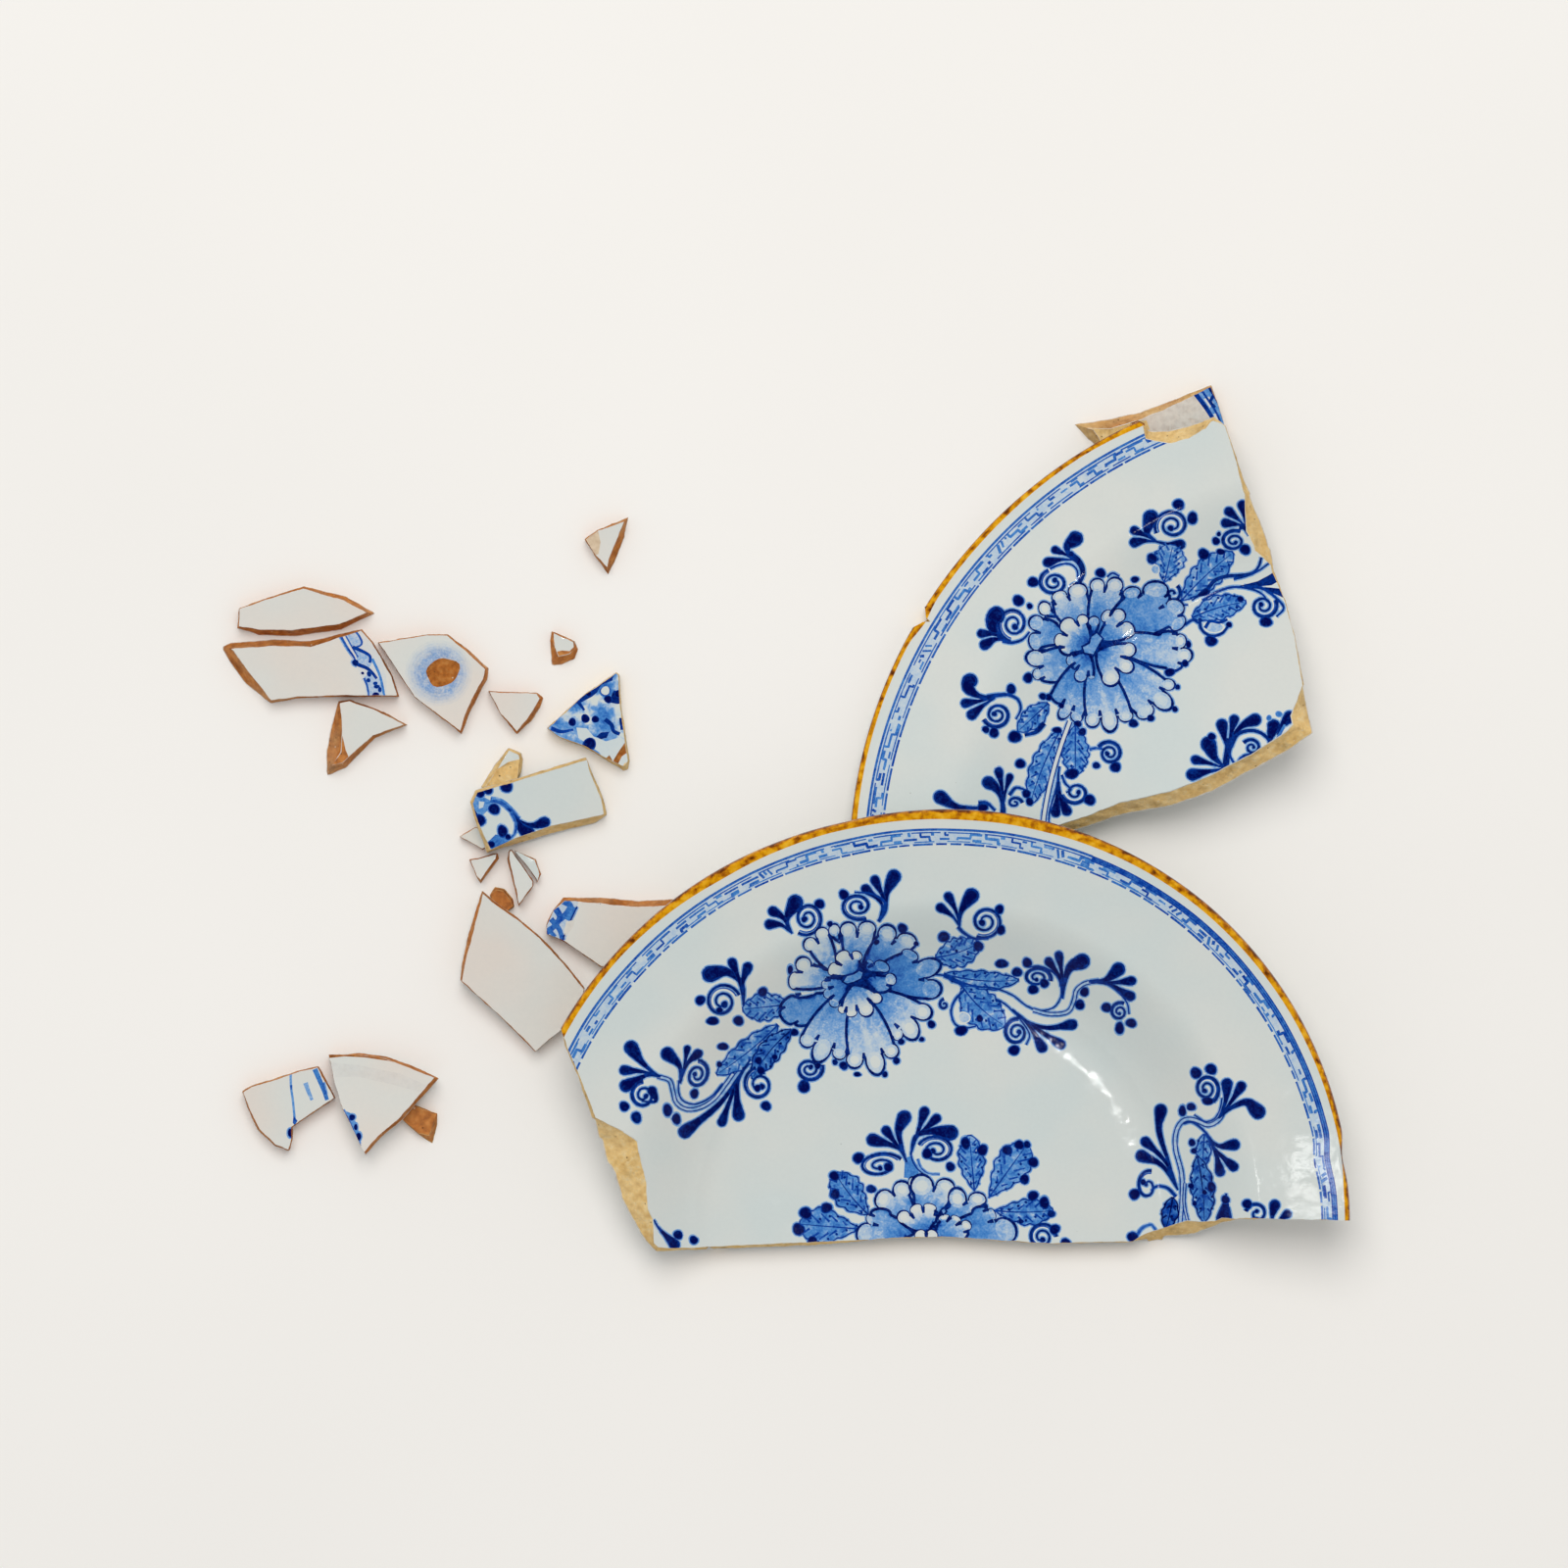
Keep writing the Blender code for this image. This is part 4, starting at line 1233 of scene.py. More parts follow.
# How far each turned sherd's rim stands out of its circle, by angle
LOWER_BULGE = along_rim((-12, -0.6), (3, -0.55), (6, -0.7), (8.5, -1.35), (10, -1.3), (12, 0.1), (30, 0.6),
                        (50, 0.75), (70, 0.35), (80, 0.05), (90, -0.5), (103, -1.1), (112, -0.7),
                        (122, 0.1), (140, 1.4), (150, 2.3), (160, 3.2))
UPPER_BULGE = along_rim((-180, 0.0), (180, 0.0))


def paint_lower_border(brush):
    border = Border(brush, 5)
    start, turn, end = math.radians(-8), math.radians(67), math.radians(162)
    border.ochre(start, end, along_rim((-8, 1.6), (5, 1.6), (7, 0.8), (9.5, 0.1), (11, 1.0), (12.5, 1.7),
                                       (30, 1.95), (45, 2.3), (60, 2.5), (75, 3.1), (85, 3.1), (92, 2.8),
                                       (105, 2.2), (115, 2.6), (122, 3.0), (130, 2.4), (140, 1.85),
                                       (150, 2.0), (160, 2.3)))
    outer = along_rim((-8, 3.6), (12, 4.0), (25, 4.4), (45, 4.6), (60, 5.1), (75, 5.7), (87, 6.0), (97, 5.5),
                      (107, 5.3), (122, 5.4), (140, 5.2), (150, 4.9), (160, 5.2))
    inner = along_rim((-8, 8.0), (12, 8.6), (25, 9.0), (45, 9.3), (60, 9.5), (75, 10.3), (92, 10.3),
                      (107, 9.9), (122, 9.6), (140, 9.5), (150, 9.2), (160, 9.2))
    border.band(start, end, outer, shifted(inner, -0.2), blue(0.09))
    border.key(start, turn, shifted(outer, 1.4), shifted(inner, -0.5), 0.56)
    border.key(turn, end, shifted(outer, 0.7), shifted(inner, -0.5), 0.52)
    border.band(start, math.radians(43), shifted(outer, -0.1), shifted(outer, 1.5), blue(0.48))
    border.band(math.radians(43), turn, shifted(outer, -0.2), shifted(outer, 1.3), blue(0.6))
    for place, depth in ((0.0, 0.74), (0.65, 0.6), (1.3, 0.7)):
        border.ring(start, turn, shifted(outer, place), 0.4, depth)
    border.ring(turn, end, shifted(outer, 0.05), 0.66, 0.6)
    border.ring(turn, end, shifted(outer, 0.95), 0.42, 0.52, 11.0, 2.4)
    border.ring(start, end, shifted(inner, -0.85), 0.34, 0.44, 8.0, 2.6)
    border.ring(start, end, shifted(inner, -0.1), 0.6, 0.56, 4.4, 0.9)


def paint_lower_flower(brush):
    brush.spray((2, -33.5), (2.3, (0.5, -29.5), (3, -24.5)), (1.5, (-0.5, -29), (-3.5, -27)),
                (1.5, (-1, -31), (-4.5, -30.8)))
    brush.curl(6.5, -29, 4.8, 5.2, -125, 1)
    brush.curl(21, -25.5, 5.2, 4.2, -60, -1)
    brush.spray((27, -30), (2.1, (29, -27), (29.3, -22), (31.5, -17)), (1.4, (29, -25), (26, -18)),
                (1.4, (28, -25), (23.3, -20.5)))
    brush.line([(27, -30), (29, -27), (28.5, -24), (25, -22), (20, -21.5)], 0.9, 0.4)
    brush.dots((10, -24.9, 1.5), (17, -22.2, 1.5), (34, -32, 1.5), (46, -34.5, 1.7), (56, -37.2, 1.6),
               (5.5, -78, 1.9), (-6.5, -50.5, 1.5))
    brush.curl(7, -73, 4.2, 3.8, 20, -1)
    brush.flower((
        ((15, -46), 0.25, 0.1, ((13, -33.5), 0.68, (9, -35), 0.68, (7, -39))),
        ((20, -46), 0.55, 0.18, ((16, -34), 0.73, (21, -33), 0.62, (26.5, -33))),
        ((16, -36.5), 0.4, 0.2, ((12.5, -33.5), 0.9, (16, -33.5))),
        ((21.5, -46), 0.65, 0.2, ((26.5, -34), 0.75, (32, -35.5), 0.55, (38, -37.5))),
        ((18, -47), 0.45, 0.08, ((11.5, -43.5), 0.12, (8, -42.5), 0.75, (3.5, -44.5), 0.45, (3, -50))),
        ((23.5, -46.5), 0.62, 0.42, ((33.5, -39), 0.4, (38.5, -41.5), 1.1, (40.5, -47), 0.8, (41.5, -53))),
        ((18, -47.5), 0.48, 0.38, ((9, -50.5), 0.1, (3, -51.5), 0.25, (-1.5, -55.5), 0.3, (2.5, -60), 0.2,
                                   (7, -60))),
        ((21.5, -49.5), 0.52, 0.14, ((39.5, -53.5), 0.85, (38, -58.5), 1.0, (33, -61), 0.6, (31.5, -64.5))),
        ((19, -48), 0.42, 0.2, ((4.5, -63), 0.7, (9, -64.5), 1.1, (14, -67), 0.65, (18, -68.5))),
        ((20.5, -48.5), 0.32, 0.14, ((18, -68.5), 0.75, (23, -70), 1.05, (28.5, -68.5), 0.75, (32, -65.5))),
        ((19, -47.5), 0.62, 0.38, ((12, -46), 0.5, (11.5, -47), 0.6, (12.5, -49.5), 0.6, (13, -52.5), 0.6,
                                   (16, -54))),
        ((22.5, -44.5), 0.56, 0.5, ((23.5, -41.5), 0.4, (25.5, -42.5), 0.5, (30, -45))),
        ((22.5, -46), 0.6, 0.3, ((29, -45.5), 0.65, (31, -49), 0.3, (25.5, -50))),
        ((21.5, -45.5), 0.55, 0.04, ((13.5, -46), 0.45, (15, -42), 0.55, (19, -39.5), 0.6, (22, -41.5))),
        ((19.5, -48), 0.38, 0.08, ((16, -54.5), 0.6, (17.5, -56.5), 0.5, (21, -56), 0.75, (25, -53.5), 0.85,
                                   (26.5, -50.5))),
    ), ((17, -47.5), (18, -46), (20, -45.5), (21.5, -44.5), (22.5, -45), (22, -46.5), (20, -47.5), (18, -48)))
    brush.dots((17, -72, 1.3), (14.5, -71, 0.9), (9.5, -72, 1.0), (21, -74.5, 1.2, 0.7), (29, -74.5, 0.9),
               (32.3, -70.5, 1.1), (33.7, -65, 1.0), (42.5, -60, 1.2), (39.7, -64.3, 0.8),
               (1.5, -44, 0.8, 1.4), (13, -30.7, 0.9), (26.5, -36, 0.9), (38, -36.5, 0.8), (2.7, -62.3, 1.2))


def paint_left_spray(brush):
    brush.stem([(-10, -70), (-14, -73), (-17, -77), (-20.5, -81.5), (-24.5, -84), (-28.5, -84.5),
                (-31.5, -82.5), (-32.5, -79), (-33.5, -76), (-37, -74.8)], 1.2)
    brush.line([(-18, -77), (-21.5, -81), (-26, -83), (-29.5, -82), (-30.8, -79.5), (-30.8, -76)], 0.5, 0.4)
    brush.spray((-36, -75), (2.1, (-39, -73), (-42, -70), (-44.5, -66.5)), (1.5, (-41, -73.5), (-46.5, -73)),
                (1.9, (-40, -74.5), (-46, -77.5)))
    brush.curl(-41, -80.3, 4.0, 4.2, 90, 1, 1.7)
    brush.drop(1.4, (-41.5, -82), (-37.5, -82), (-38.5, -79))
    brush.spray((-30.3, -77), (2.0, (-30.5, -72), (-34, -68.3)), (1.0, (-29, -71), (-28.3, -66.8)),
                (1.4, (-28.5, -71.5), (-25.2, -68.3)))
    brush.curl(-25.5, -74.5, 3.6, 4.4, 110, -1, 1.8, -20)
    brush.leaf((-2, -60), (-20, -74.5), 8.0, 0.06, 0.4)
    brush.spray((-10, -70), (2.0, (-13, -74.5), (-19, -83), (-29, -91)), (1.4, (-14, -77), (-18.3, -88.3)),
                (1.8, (-13.5, -76), (-14, -81), (-13.5, -86.3)))
    brush.leaf((2, -61.5), (-9.5, -76), 7.5, -0.12, 0.55)
    brush.curl(-7.5, -77.5, 4.8, 5.0, 110, 1, 1.6)
    brush.leaf((2.5, -54), (-12.5, -55.5), 9.0, 0.0, 0.42, fat=1.25)
    brush.spray((-12, -54.5), (2.4, (-12.5, -48), (-17, -44.5), (-21.7, -45.2)),
                (1.4, (-13, -48), (-15.3, -41.8)), (1.5, (-12.3, -48), (-10.8, -43.2)))
    brush.curl(-18.2, -53.2, 5.3, 5.4, 20, 1, 1.8)
    brush.dots((-24.5, -52.8, 1.5), (-21, -58.8, 2.0, 1.2), (-13.5, -58.8, 1.5), (-18, -66.3, 1.6, 1.2),
               (-19, -71.5, 0.9), (-26.3, -80, 1.3, 1.5), (-43, -86.7, 1.5, 1.8), (-46.5, -83.5, 1.5),
               (-34, -84.7, 1.4, 1.9), (-31.5, -87.3, 1.3, 1.8), (-5.5, -83.7, 1.5), (-7.7, -70.5, 1.2),
               (-7, -73.3, 1.3), (-3, -69.5, 0.9), (-8, -78.5, 1.1), (-19, -55.7, 1.0))
    brush.drop(1.6, (-38, -116.5), (-36.5, -119), (-32, -123.8))
    brush.dots((-31, -121, 1.4), (-26.5, -122.5, 1.3))


def paint_right_spray(brush):
    brush.leaf((46, -45.3), (68, -47), 6.4, -0.1, 0.44)
    brush.leaf((43.5, -40.5), (56.5, -36), 9.5, -0.12, 0.42)
    brush.line([(41, -46), (44, -45.5), (48, -46.3), (52, -48), (56, -49), (61, -49.5), (66, -51.5),
                (70, -54.5), (74, -56), (78, -55), (80, -52), (80, -49)], 0.5, 0.4)
    brush.stem([(72, -55.8), (77, -57), (82, -56.3), (83.8, -53), (84.5, -50), (87, -48), (91, -47.2)], 1.2)
    brush.spray((88, -47.6), (2.0, (93, -46.8), (96.5, -43.8)), (1.4, (94, -47.8), (100.3, -47.2)),
                (1.5, (94, -48.3), (100, -51.7)))
    brush.line([(93, -48), (96, -50), (99, -53.5), (99.7, -57)], 0.5, 0.4)
    brush.curl(96.9, -56.2, 2.8, 2.9, 60, 1, 1.6)
    brush.line([(46, -46), (51, -48), (54, -50), (62, -53), (66, -56), (69, -59.5), (71, -63), (70, -66)],
               0.6, 0.4)
    brush.spray((66, -55.5), (1.6, (70, -59), (76, -61), (83.3, -60)), (1.5, (72, -60.5), (80, -65.8)),
                (1.6, (71, -60.5), (74.6, -66.7)))
    brush.leaf((51.5, -49), (64, -60.5), 11.5, -0.12, 0.42)
    brush.dot(52, -58, 1.9, 1.7, depth=0.02)
    brush.line([(52, -50), (49.3, -53), (48.2, -56.5), (49.5, -60), (52.5, -61), (55.5, -60.5)], 0.7, 0.4)
    brush.curl(67.2, -62.3, 3.9, 4.2, 80, 1, 1.8)
    brush.curl(46.2, -54.3, 1.6, 1.7, 90, 1, 1.1)
    brush.curl(73, -46.3, 4.4, 3.3, -20, 1, 1.8)
    brush.line([(80, -49), (79.3, -46.5), (77, -44.3), (73.5, -43), (70.5, -43.4)], 0.6, 0.4)
    brush.spray((80.5, -52.5), (2.3, (81, -48), (82.5, -43.5), (86, -41.6)),
                (1.3, (80.3, -46), (79.3, -39.8)), (1.3, (80, -47), (76.4, -41.6)))
    brush.curl(58, -30, 5.2, 5.0, -120, 1)
    brush.spray((50.5, -31.5), (2.2, (51, -27), (54, -22.5)), (1.4, (49.5, -27), (47.3, -22.8)),
                (1.4, (48.5, -28.5), (45, -26)))
    brush.line([(50, -31.5), (52, -33.5), (55, -35), (59, -35)], 0.9, 0.4)
    brush.dots((62, -26.5, 1.4), (62.5, -32.5, 1.4), (62.8, -42.3, 1.9, 1.4), (70.2, -42, 1.5),
               (67.3, -44.8, 1.5), (75.2, -48, 1.4), (72, -49.8, 1.5), (86.8, -50.5, 1.4),
               (85.5, -54.2, 1.5), (93.2, -55, 1.5), (100.3, -59.5, 1.6, 1.4), (97, -61, 1.4, 1.8),
               (51.2, -61.8, 2.0, 1.5), (56.5, -58.3, 1.1), (66.5, -67.5, 1.8, 1.5), (49.7, -38.6, 0.5))


def paint_lower_bouquet(brush):
    brush.leaf((23, -119.5), (4, -118), 11.5, 0.0, 0.44, fat=1.8)
    brush.leaf((24.5, -115.5), (14.5, -103), 10.5, 0.08, 0.46, fat=1.4)
    brush.leaf((55, -108.5), (53.5, -92), 8.5, 0.0, 0.4, fat=1.3)
    brush.leaf((59, -110.5), (70.5, -94.5), 11.0, 0.0, 0.42, fat=1.5)
    brush.leaf((60.5, -114), (78, -114), 8.5, -0.06, 0.46, fat=1.4)
    brush.stroke([(34.8, -99), (34.5, -104.5), (39, -105), (38.5, -101), (36.5, -98)], blue(0.4))
    brush.line([(36.5, -97), (37, -99.5), (38.5, -102), (41, -104)], 0.5, 0.3)
    brush.curl(27.5, -101, 6.8, 3.9, 20, 1, 1.7, 5)
    brush.curl(44, -96.5, 5.6, 4.4, 160, -1, 1.9)
    brush.curl(74.5, -121.7, 4.4, 4.4, 0, 1, 1.8)
    brush.line([(38.5, -99), (39.3, -101.3), (41.5, -103.2), (45, -103.5)], 0.35, 0.25, 0.6)
    brush.spray((35.3, -100), (1.9, (33, -96), (25.5, -93.5)), (1.4, (33.5, -96.5), (29.3, -90.8)),
                (2.1, (34, -96), (33, -91), (34.6, -87)))
    brush.spray((36.5, -98), (1.5, (38, -93), (40.5, -85.3)), (1.4, (37.7, -93.5), (44, -87.3)),
                (2.3, (38, -92.5), (43, -91), (48, -91.5)))
    brush.dots((6, -114.8, 1.9), (12, -113.3, 1.7), (4, -119.5, 1.9), (8, -123, 1.6), (14.3, -104, 1.5),
               (14.5, -109.3, 1.6), (25, -107.8, 1.6, 1.2), (52.4, -94.5, 1.4, 2.0), (57.3, -96.5, 1.7),
               (64.5, -96.5, 1.6), (68, -95, 1.5), (70.3, -94.9, 1.1), (72, -100, 1.6), (69.5, -105, 1.5),
               (72, -109.8, 1.6), (75.3, -111.8, 1.5, 2.0), (77.3, -115, 1.2), (68.5, -117.2, 0.8),
               (21.3, -98.8, 1.7), (30, -101.5, 1.4), (41.3, -97.5, 1.6), (48, -101.3, 1.4),
               (78.3, -119.5, 1.6), (81.5, -123.5, 1.5))
    brush.flower((
        ((38, -119), 0.5, 0.15, ((28, -114), 0.6, (31, -108.5), 0.7, (36.5, -109.5))),
        ((37, -110), 0.4, 0.2, ((35.7, -106.5), 1.0, (38.2, -106.5))),
        ((40, -119), 0.58, 0.15, ((37, -109.5), 0.75, (43.5, -107), 0.6, (49, -109), 0.1, (46, -114))),
        ((42, -119), 0.5, 0.15, ((47.5, -112.5), 0.9, (53, -111.5), 0.6, (58.5, -112), 0.3, (55, -116))),
        ((38, -121), 0.5, 0.26, ((31, -115), 0.3, (24.5, -115), 0.5, (25.5, -118), 0.6, (23, -124))),
        ((45, -121), 0.52, 0.3, ((54, -114.5), 0.3, (59, -113.5), 0.4, (60.5, -117), 0.6, (65, -124))),
        ((43, -122), 0.48, 0.14, ((44.5, -117), 0.4, (48, -116), 0.4, (51, -117.5), 0.6, (53.5, -120), 0.2,
                                  (50, -124))),
        ((41, -121), 0.55, 0.05, ((33.5, -118), 0.7, (36.5, -115), 0.5, (40, -113), 0.4, (44, -114), 0.2,
                                  (43.5, -118))),
        ((41, -126), 0.2, 0.04, ((38, -122.5), 0.6, (41, -120.5), 0.6, (44, -122.5))),
    ), ((45.5, -114), (46.2, -113.6), (46.6, -114.3), (46, -115)))


def paint_lower_corner(brush):
    brush.stem([(114.5, -119), (115.2, -110), (115, -103), (113.3, -96), (113.5, -91), (115.5, -87.8),
                (118.5, -87.5), (122.5, -89), (125.5, -87.5), (127, -85)], 1.3)
    brush.stem([(117, -118), (115.8, -112), (116, -106)], 0.9)
    brush.line([(115.5, -88.6), (118, -88.2), (121, -90.3), (123.5, -93.5), (124.6, -98)], 0.7, 0.5)
    brush.line([(118.5, -86), (120, -87), (122, -88), (124.5, -87), (126, -84), (126.5, -81)], 0.4)
    brush.curl(122, -78.4, 4.0, 4.5, -60, 1, 1.8)
    brush.spray((125.5, -87), (1.7, (127.5, -82), (127.9, -77)), (1.5, (128.5, -83), (132, -77.7)),
                (2.2, (129, -84), (133.5, -82.3), (136.8, -85)))
    brush.spray((114, -108), (1.8, (111, -99), (108.6, -91), (109, -84.8)),
                (1.5, (110.5, -100), (104.6, -94)), (1.8, (109.5, -101), (103.5, -98.2)))
    brush.spray((122, -92), (1.7, (125.5, -95), (130, -94.6)), (1.5, (125, -96.5), (129.8, -101)),
                (1.5, (124.7, -97), (126, -102.5)))
    brush.curl(105.3, -107, 3.5, 4.8, 70, 1, 1.2)
    brush.line([(113.5, -110), (111, -107.5), (108, -107), (106.2, -108.3)], 0.9, 0.6)
    brush.leaf((121.5, -91.5), (121, -101.5), 5.0, 0.0, 0.42, 3, 3)
    brush.leaf((119.5, -98), (121.5, -117.5), 7.5, 0.06, 0.56, 5, 5)
    brush.leaf((112.5, -110), (110.5, -119.5), 5.5, 0.05, 0.72, 3, 2)
    brush.drop(2.3, (127.8, -108.8), (127.6, -112), (127.2, -116))
    brush.curl(136.6, -114.5, 3.4, 3.4, 170, -1, 1.2)
    brush.drop(1.6, (141, -118), (141, -115), (141.7, -112))
    brush.drop(1.3, (142.5, -117.5), (143.5, -116), (145.3, -114.6))
    brush.line([(101.5, -122.5), (103.5, -119.3), (106.3, -118.2), (108, -120.3)], 0.9, 0.5, 0.6)
    brush.dots((119, -73.9, 1.7), (123.3, -72.8, 1.7), (122.4, -82, 1.8, 1.2), (115.2, -85, 1.2, 1.6),
               (117.7, -83.8, 1.3), (101.5, -109.3, 1.7), (104, -105.8, 0.9), (118, -94.2, 1.1),
               (118.6, -96.6, 0.9), (123.6, -107, 1.3, 1.7), (117.8, -106.8, 0.9), (121.6, -108.6, 0.8),
               (118.8, -111.8, 0.8), (127.6, -110.6, 1.3), (133.8, -111.8, 1.5), (136, -116.5, 1.6, 1.0),
               (101, -121.8, 1.7))


def paint_lower_half(brush):
    paint_lower_border(brush)
    paint_left_spray(brush)
    paint_right_spray(brush)
    paint_lower_flower(brush)
    paint_lower_bouquet(brush)
    paint_lower_corner(brush)


def paint_upper_border(brush):
    border = Border(brush, 8)
    start, end = math.radians(109), math.radians(180)
    border.ochre(start, end, along_rim((109, 2.6), (114, 2.2), (120, 1.9), (134, 2.3), (147.5, 2.4),
                                       (148.5, 3.2), (150, 3.5), (151.5, 2.0), (160, 2.0), (175, 2.3),
                                       (180, 2.5)))
    outer = along_rim((109, 4.5), (114, 4.8), (122, 5.0), (180, 5.1))
    inner = along_rim((109, 9.6), (114, 9.8), (122, 10.1), (180, 10.1))
    border.band(start, end, outer, inner, blue(0.09))
    border.key(start, end, shifted(outer, 1.0), shifted(inner, -1.0), 0.54)
    border.ring(start, end, shifted(outer, 0.15), 0.66, 0.6)
    border.ring(start, end, shifted(outer, 1.05), 0.4, 0.54, 14.0, 1.6)
    border.ring(start, end, shifted(inner, -1.05), 0.42, 0.54, 10.0, 1.8)
    border.ring(start, end, shifted(inner, -0.2), 0.6, 0.58, 7.0, 0.8)


def paint_upper_flower(brush):
    brush.line([(93.4, 69.8), (95, 71), (97, 70)], 0.5)
    brush.curl(112.5, 65, 2.6, 2.8, 60, -1, 1.1)
    brush.curl(75.5, 60.5, 1.9, 1.9, 40, 1, 0.9)
    brush.flower((
        ((79.5, 58), 0.3, 0.1, ((74, 59), 0.9, (77.5, 60.5))),
        ((88.5, 51), 0.5, 0.15, ((78.5, 58), 0.1, (77.5, 63), 0.5, (82, 64.5), 0.62, (88, 65))),
        ((89, 51), 0.6, 0.18, ((88.5, 66), 0.7, (93, 67), 0.7, (98, 66), 0.15, (97.5, 62.5))),
        ((90.5, 51), 0.52, 0.32, ((98, 64), 0.5, (103.5, 65), 0.5, (111.5, 65), 0.3, (110, 61.5), 0.6,
                                  (115.5, 59), 0.5, (111.5, 55))),
        ((89.5, 50), 0.55, 0.3, ((79.5, 56), 0.15, (75, 58), 0.75, (72.5, 54), 0.5, (74, 48.5), 0.1,
                                 (79.5, 49.5))),
        ((92, 52), 0.35, 0.16, ((108.5, 53.5), 0.2, (114, 53.5), 0.6, (114, 49), 0.8, (115.5, 44.5), 0.3,
                                (110.5, 43))),
        ((89.5, 49.5), 0.5, 0.22, ((74.5, 48.5), 0.9, (73.5, 43.5), 0.6, (74, 40), 0.15, (80, 39.5))),
        ((90.5, 48.5), 0.52, 0.2, ((110.5, 40.5), 0.9, (110, 37), 1.0, (106.5, 33), 0.55, (101.5, 30))),
        ((89, 49), 0.5, 0.3, ((77, 36.5), 0.3, (80.5, 33), 1.2, (83.5, 31), 0.6, (86.5, 28.5))),
        ((89.5, 48.5), 0.48, 0.18, ((87, 29.5), 0.8, (91.5, 29.5), 1.05, (96.5, 30), 0.6, (101, 30.5))),
        ((89.5, 52), 0.62, 0.35, ((88, 56), 0.7, (91.5, 56.5))),
        ((88.5, 48.5), 0.58, 0.34, ((83.5, 47.5), 0.5, (83, 44), 0.3, (84.5, 43), 0.75, (88, 41), 0.4,
                                    (90, 41))),
        ((90.5, 51), 0.5, 0.2, ((92.5, 56.5), 0.5, (95, 60), 0.7, (97.5, 56.5), 0.6, (100, 52))),
        ((89, 49.5), 0.62, 0.06, ((83.5, 47.5), 0.35, (79.5, 49.5), 0.5, (80.5, 53.5), 0.6, (84.5, 57), 0.7,
                                  (88, 56.5))),
        ((90, 48.5), 0.42, 0.16, ((99, 51), 0.7, (99, 46.5), 0.85, (97, 42.5), 0.7, (91.5, 41))),
    ), ((90.5, 53.5), (92, 52), (90.5, 49.5), (89.5, 47.5), (87, 48), (86.5, 49.5), (88.5, 50.5), (89, 52.5)))
    brush.dots((76.5, 35, 1.1), (74.8, 35.2, 1.1), (79, 25.4, 1.5, 1.0), (85, 27.3, 1.2, 1.0),
               (101, 27.4, 1.5, 1.2), (106, 28.9, 1.1), (111.6, 42.2, 1.6, 1.3), (116, 44.8, 1.1),
               (113, 31.5, 0.9), (113.8, 37.9, 0.8), (101.5, 69.1, 1.2, 1.0), (70.5, 40.6, 1.5),
               (91.5, 71, 1.5), (80.2, 32.6, 0.9), (71, 61.4, 0.9), (86.3, 24.9, 1.2), (117, 50.3, 0.8, 1.2))


def paint_upper_left(brush):
    brush.curl(112.2, 84.8, 5.3, 4.8, -150, -1)
    brush.spray((107.8, 80), (2.3, (105, 82.5), (106, 87)), (1.3, (104.5, 81.8), (101.2, 83.3)),
                (1.5, (104, 80.3), (101.3, 79.8)))
    brush.drop(1.5, (106.5, 80.3), (111, 79.3), (114.6, 79.2))
    brush.leaf((110, 68), (112.5, 79.3), 10.0, 0.0, 0.36, fat=1.5)
    brush.dot(107.4, 72, 1.3, 1.5, depth=0.1)
    brush.line([(85.2, 67.8), (86.4, 71), (85.4, 74), (83, 76.2)], 1.0, 1.8, 0.9)
    brush.line([(76.8, 72.2), (79.5, 73.4), (82.5, 73.6), (84.6, 72), (85, 69)], 0.6, 0.4)
    brush.spray((83.5, 74.8), (2.2, (81.8, 78.3), (84.3, 81)), (1.2, (81.5, 76.3), (78.4, 77.7)),
                (1.5, (80, 74.9), (76.3, 74.1)))
    brush.curl(78, 68.2, 4.6, 4.0, 110, 1)
    brush.curl(66.3, 56.3, 4.9, 5.2, -100, -1)
    brush.spray((65, 51.2), (2.6, (60.8, 54), (60.2, 57), (61.3, 58.8)), (1.3, (60.8, 53.2), (57, 53.5)),
                (1.6, (61, 51.8), (58, 50.2)))
    brush.line([(63, 51.3), (66, 50.8), (69, 51.8), (71, 54)], 0.9, 0.5)
    brush.line([(58.5, 35), (62, 35.6), (65, 35.6), (67.6, 34.2), (68.4, 31.5), (67, 28.5)], 1.2, 0.4)
    brush.curl(61.5, 29.9, 4.3, 4.1, -160, 1)
    brush.spray((61, 34.8), (2.3, (56.3, 35.3), (53.2, 37.6), (53.6, 39.6)), (1.4, (56, 33.8), (52.3, 33.2)),
                (1.6, (57.5, 32.6), (54.2, 29.9)))
    brush.leaf((76.5, 33.3), (67.5, 25), 7.0, 0.0, 0.42, 4, 4)
    brush.line([(75.2, 27.5), (73, 25), (69.5, 24)], 1.3, 0.8, 0.86)
    brush.dots((114, 90.7, 1.7), (118, 86.8, 1.6, 1.8), (106.4, 75.1, 1.6), (72, 68.4, 1.6), (67.7, 63, 1.7),
               (65.6, 37.3, 1.5), (58.2, 25.6, 1.1), (60.6, 24.7, 1.5), (66.7, 23.5, 1.9), (83, 76.5, 0.9))


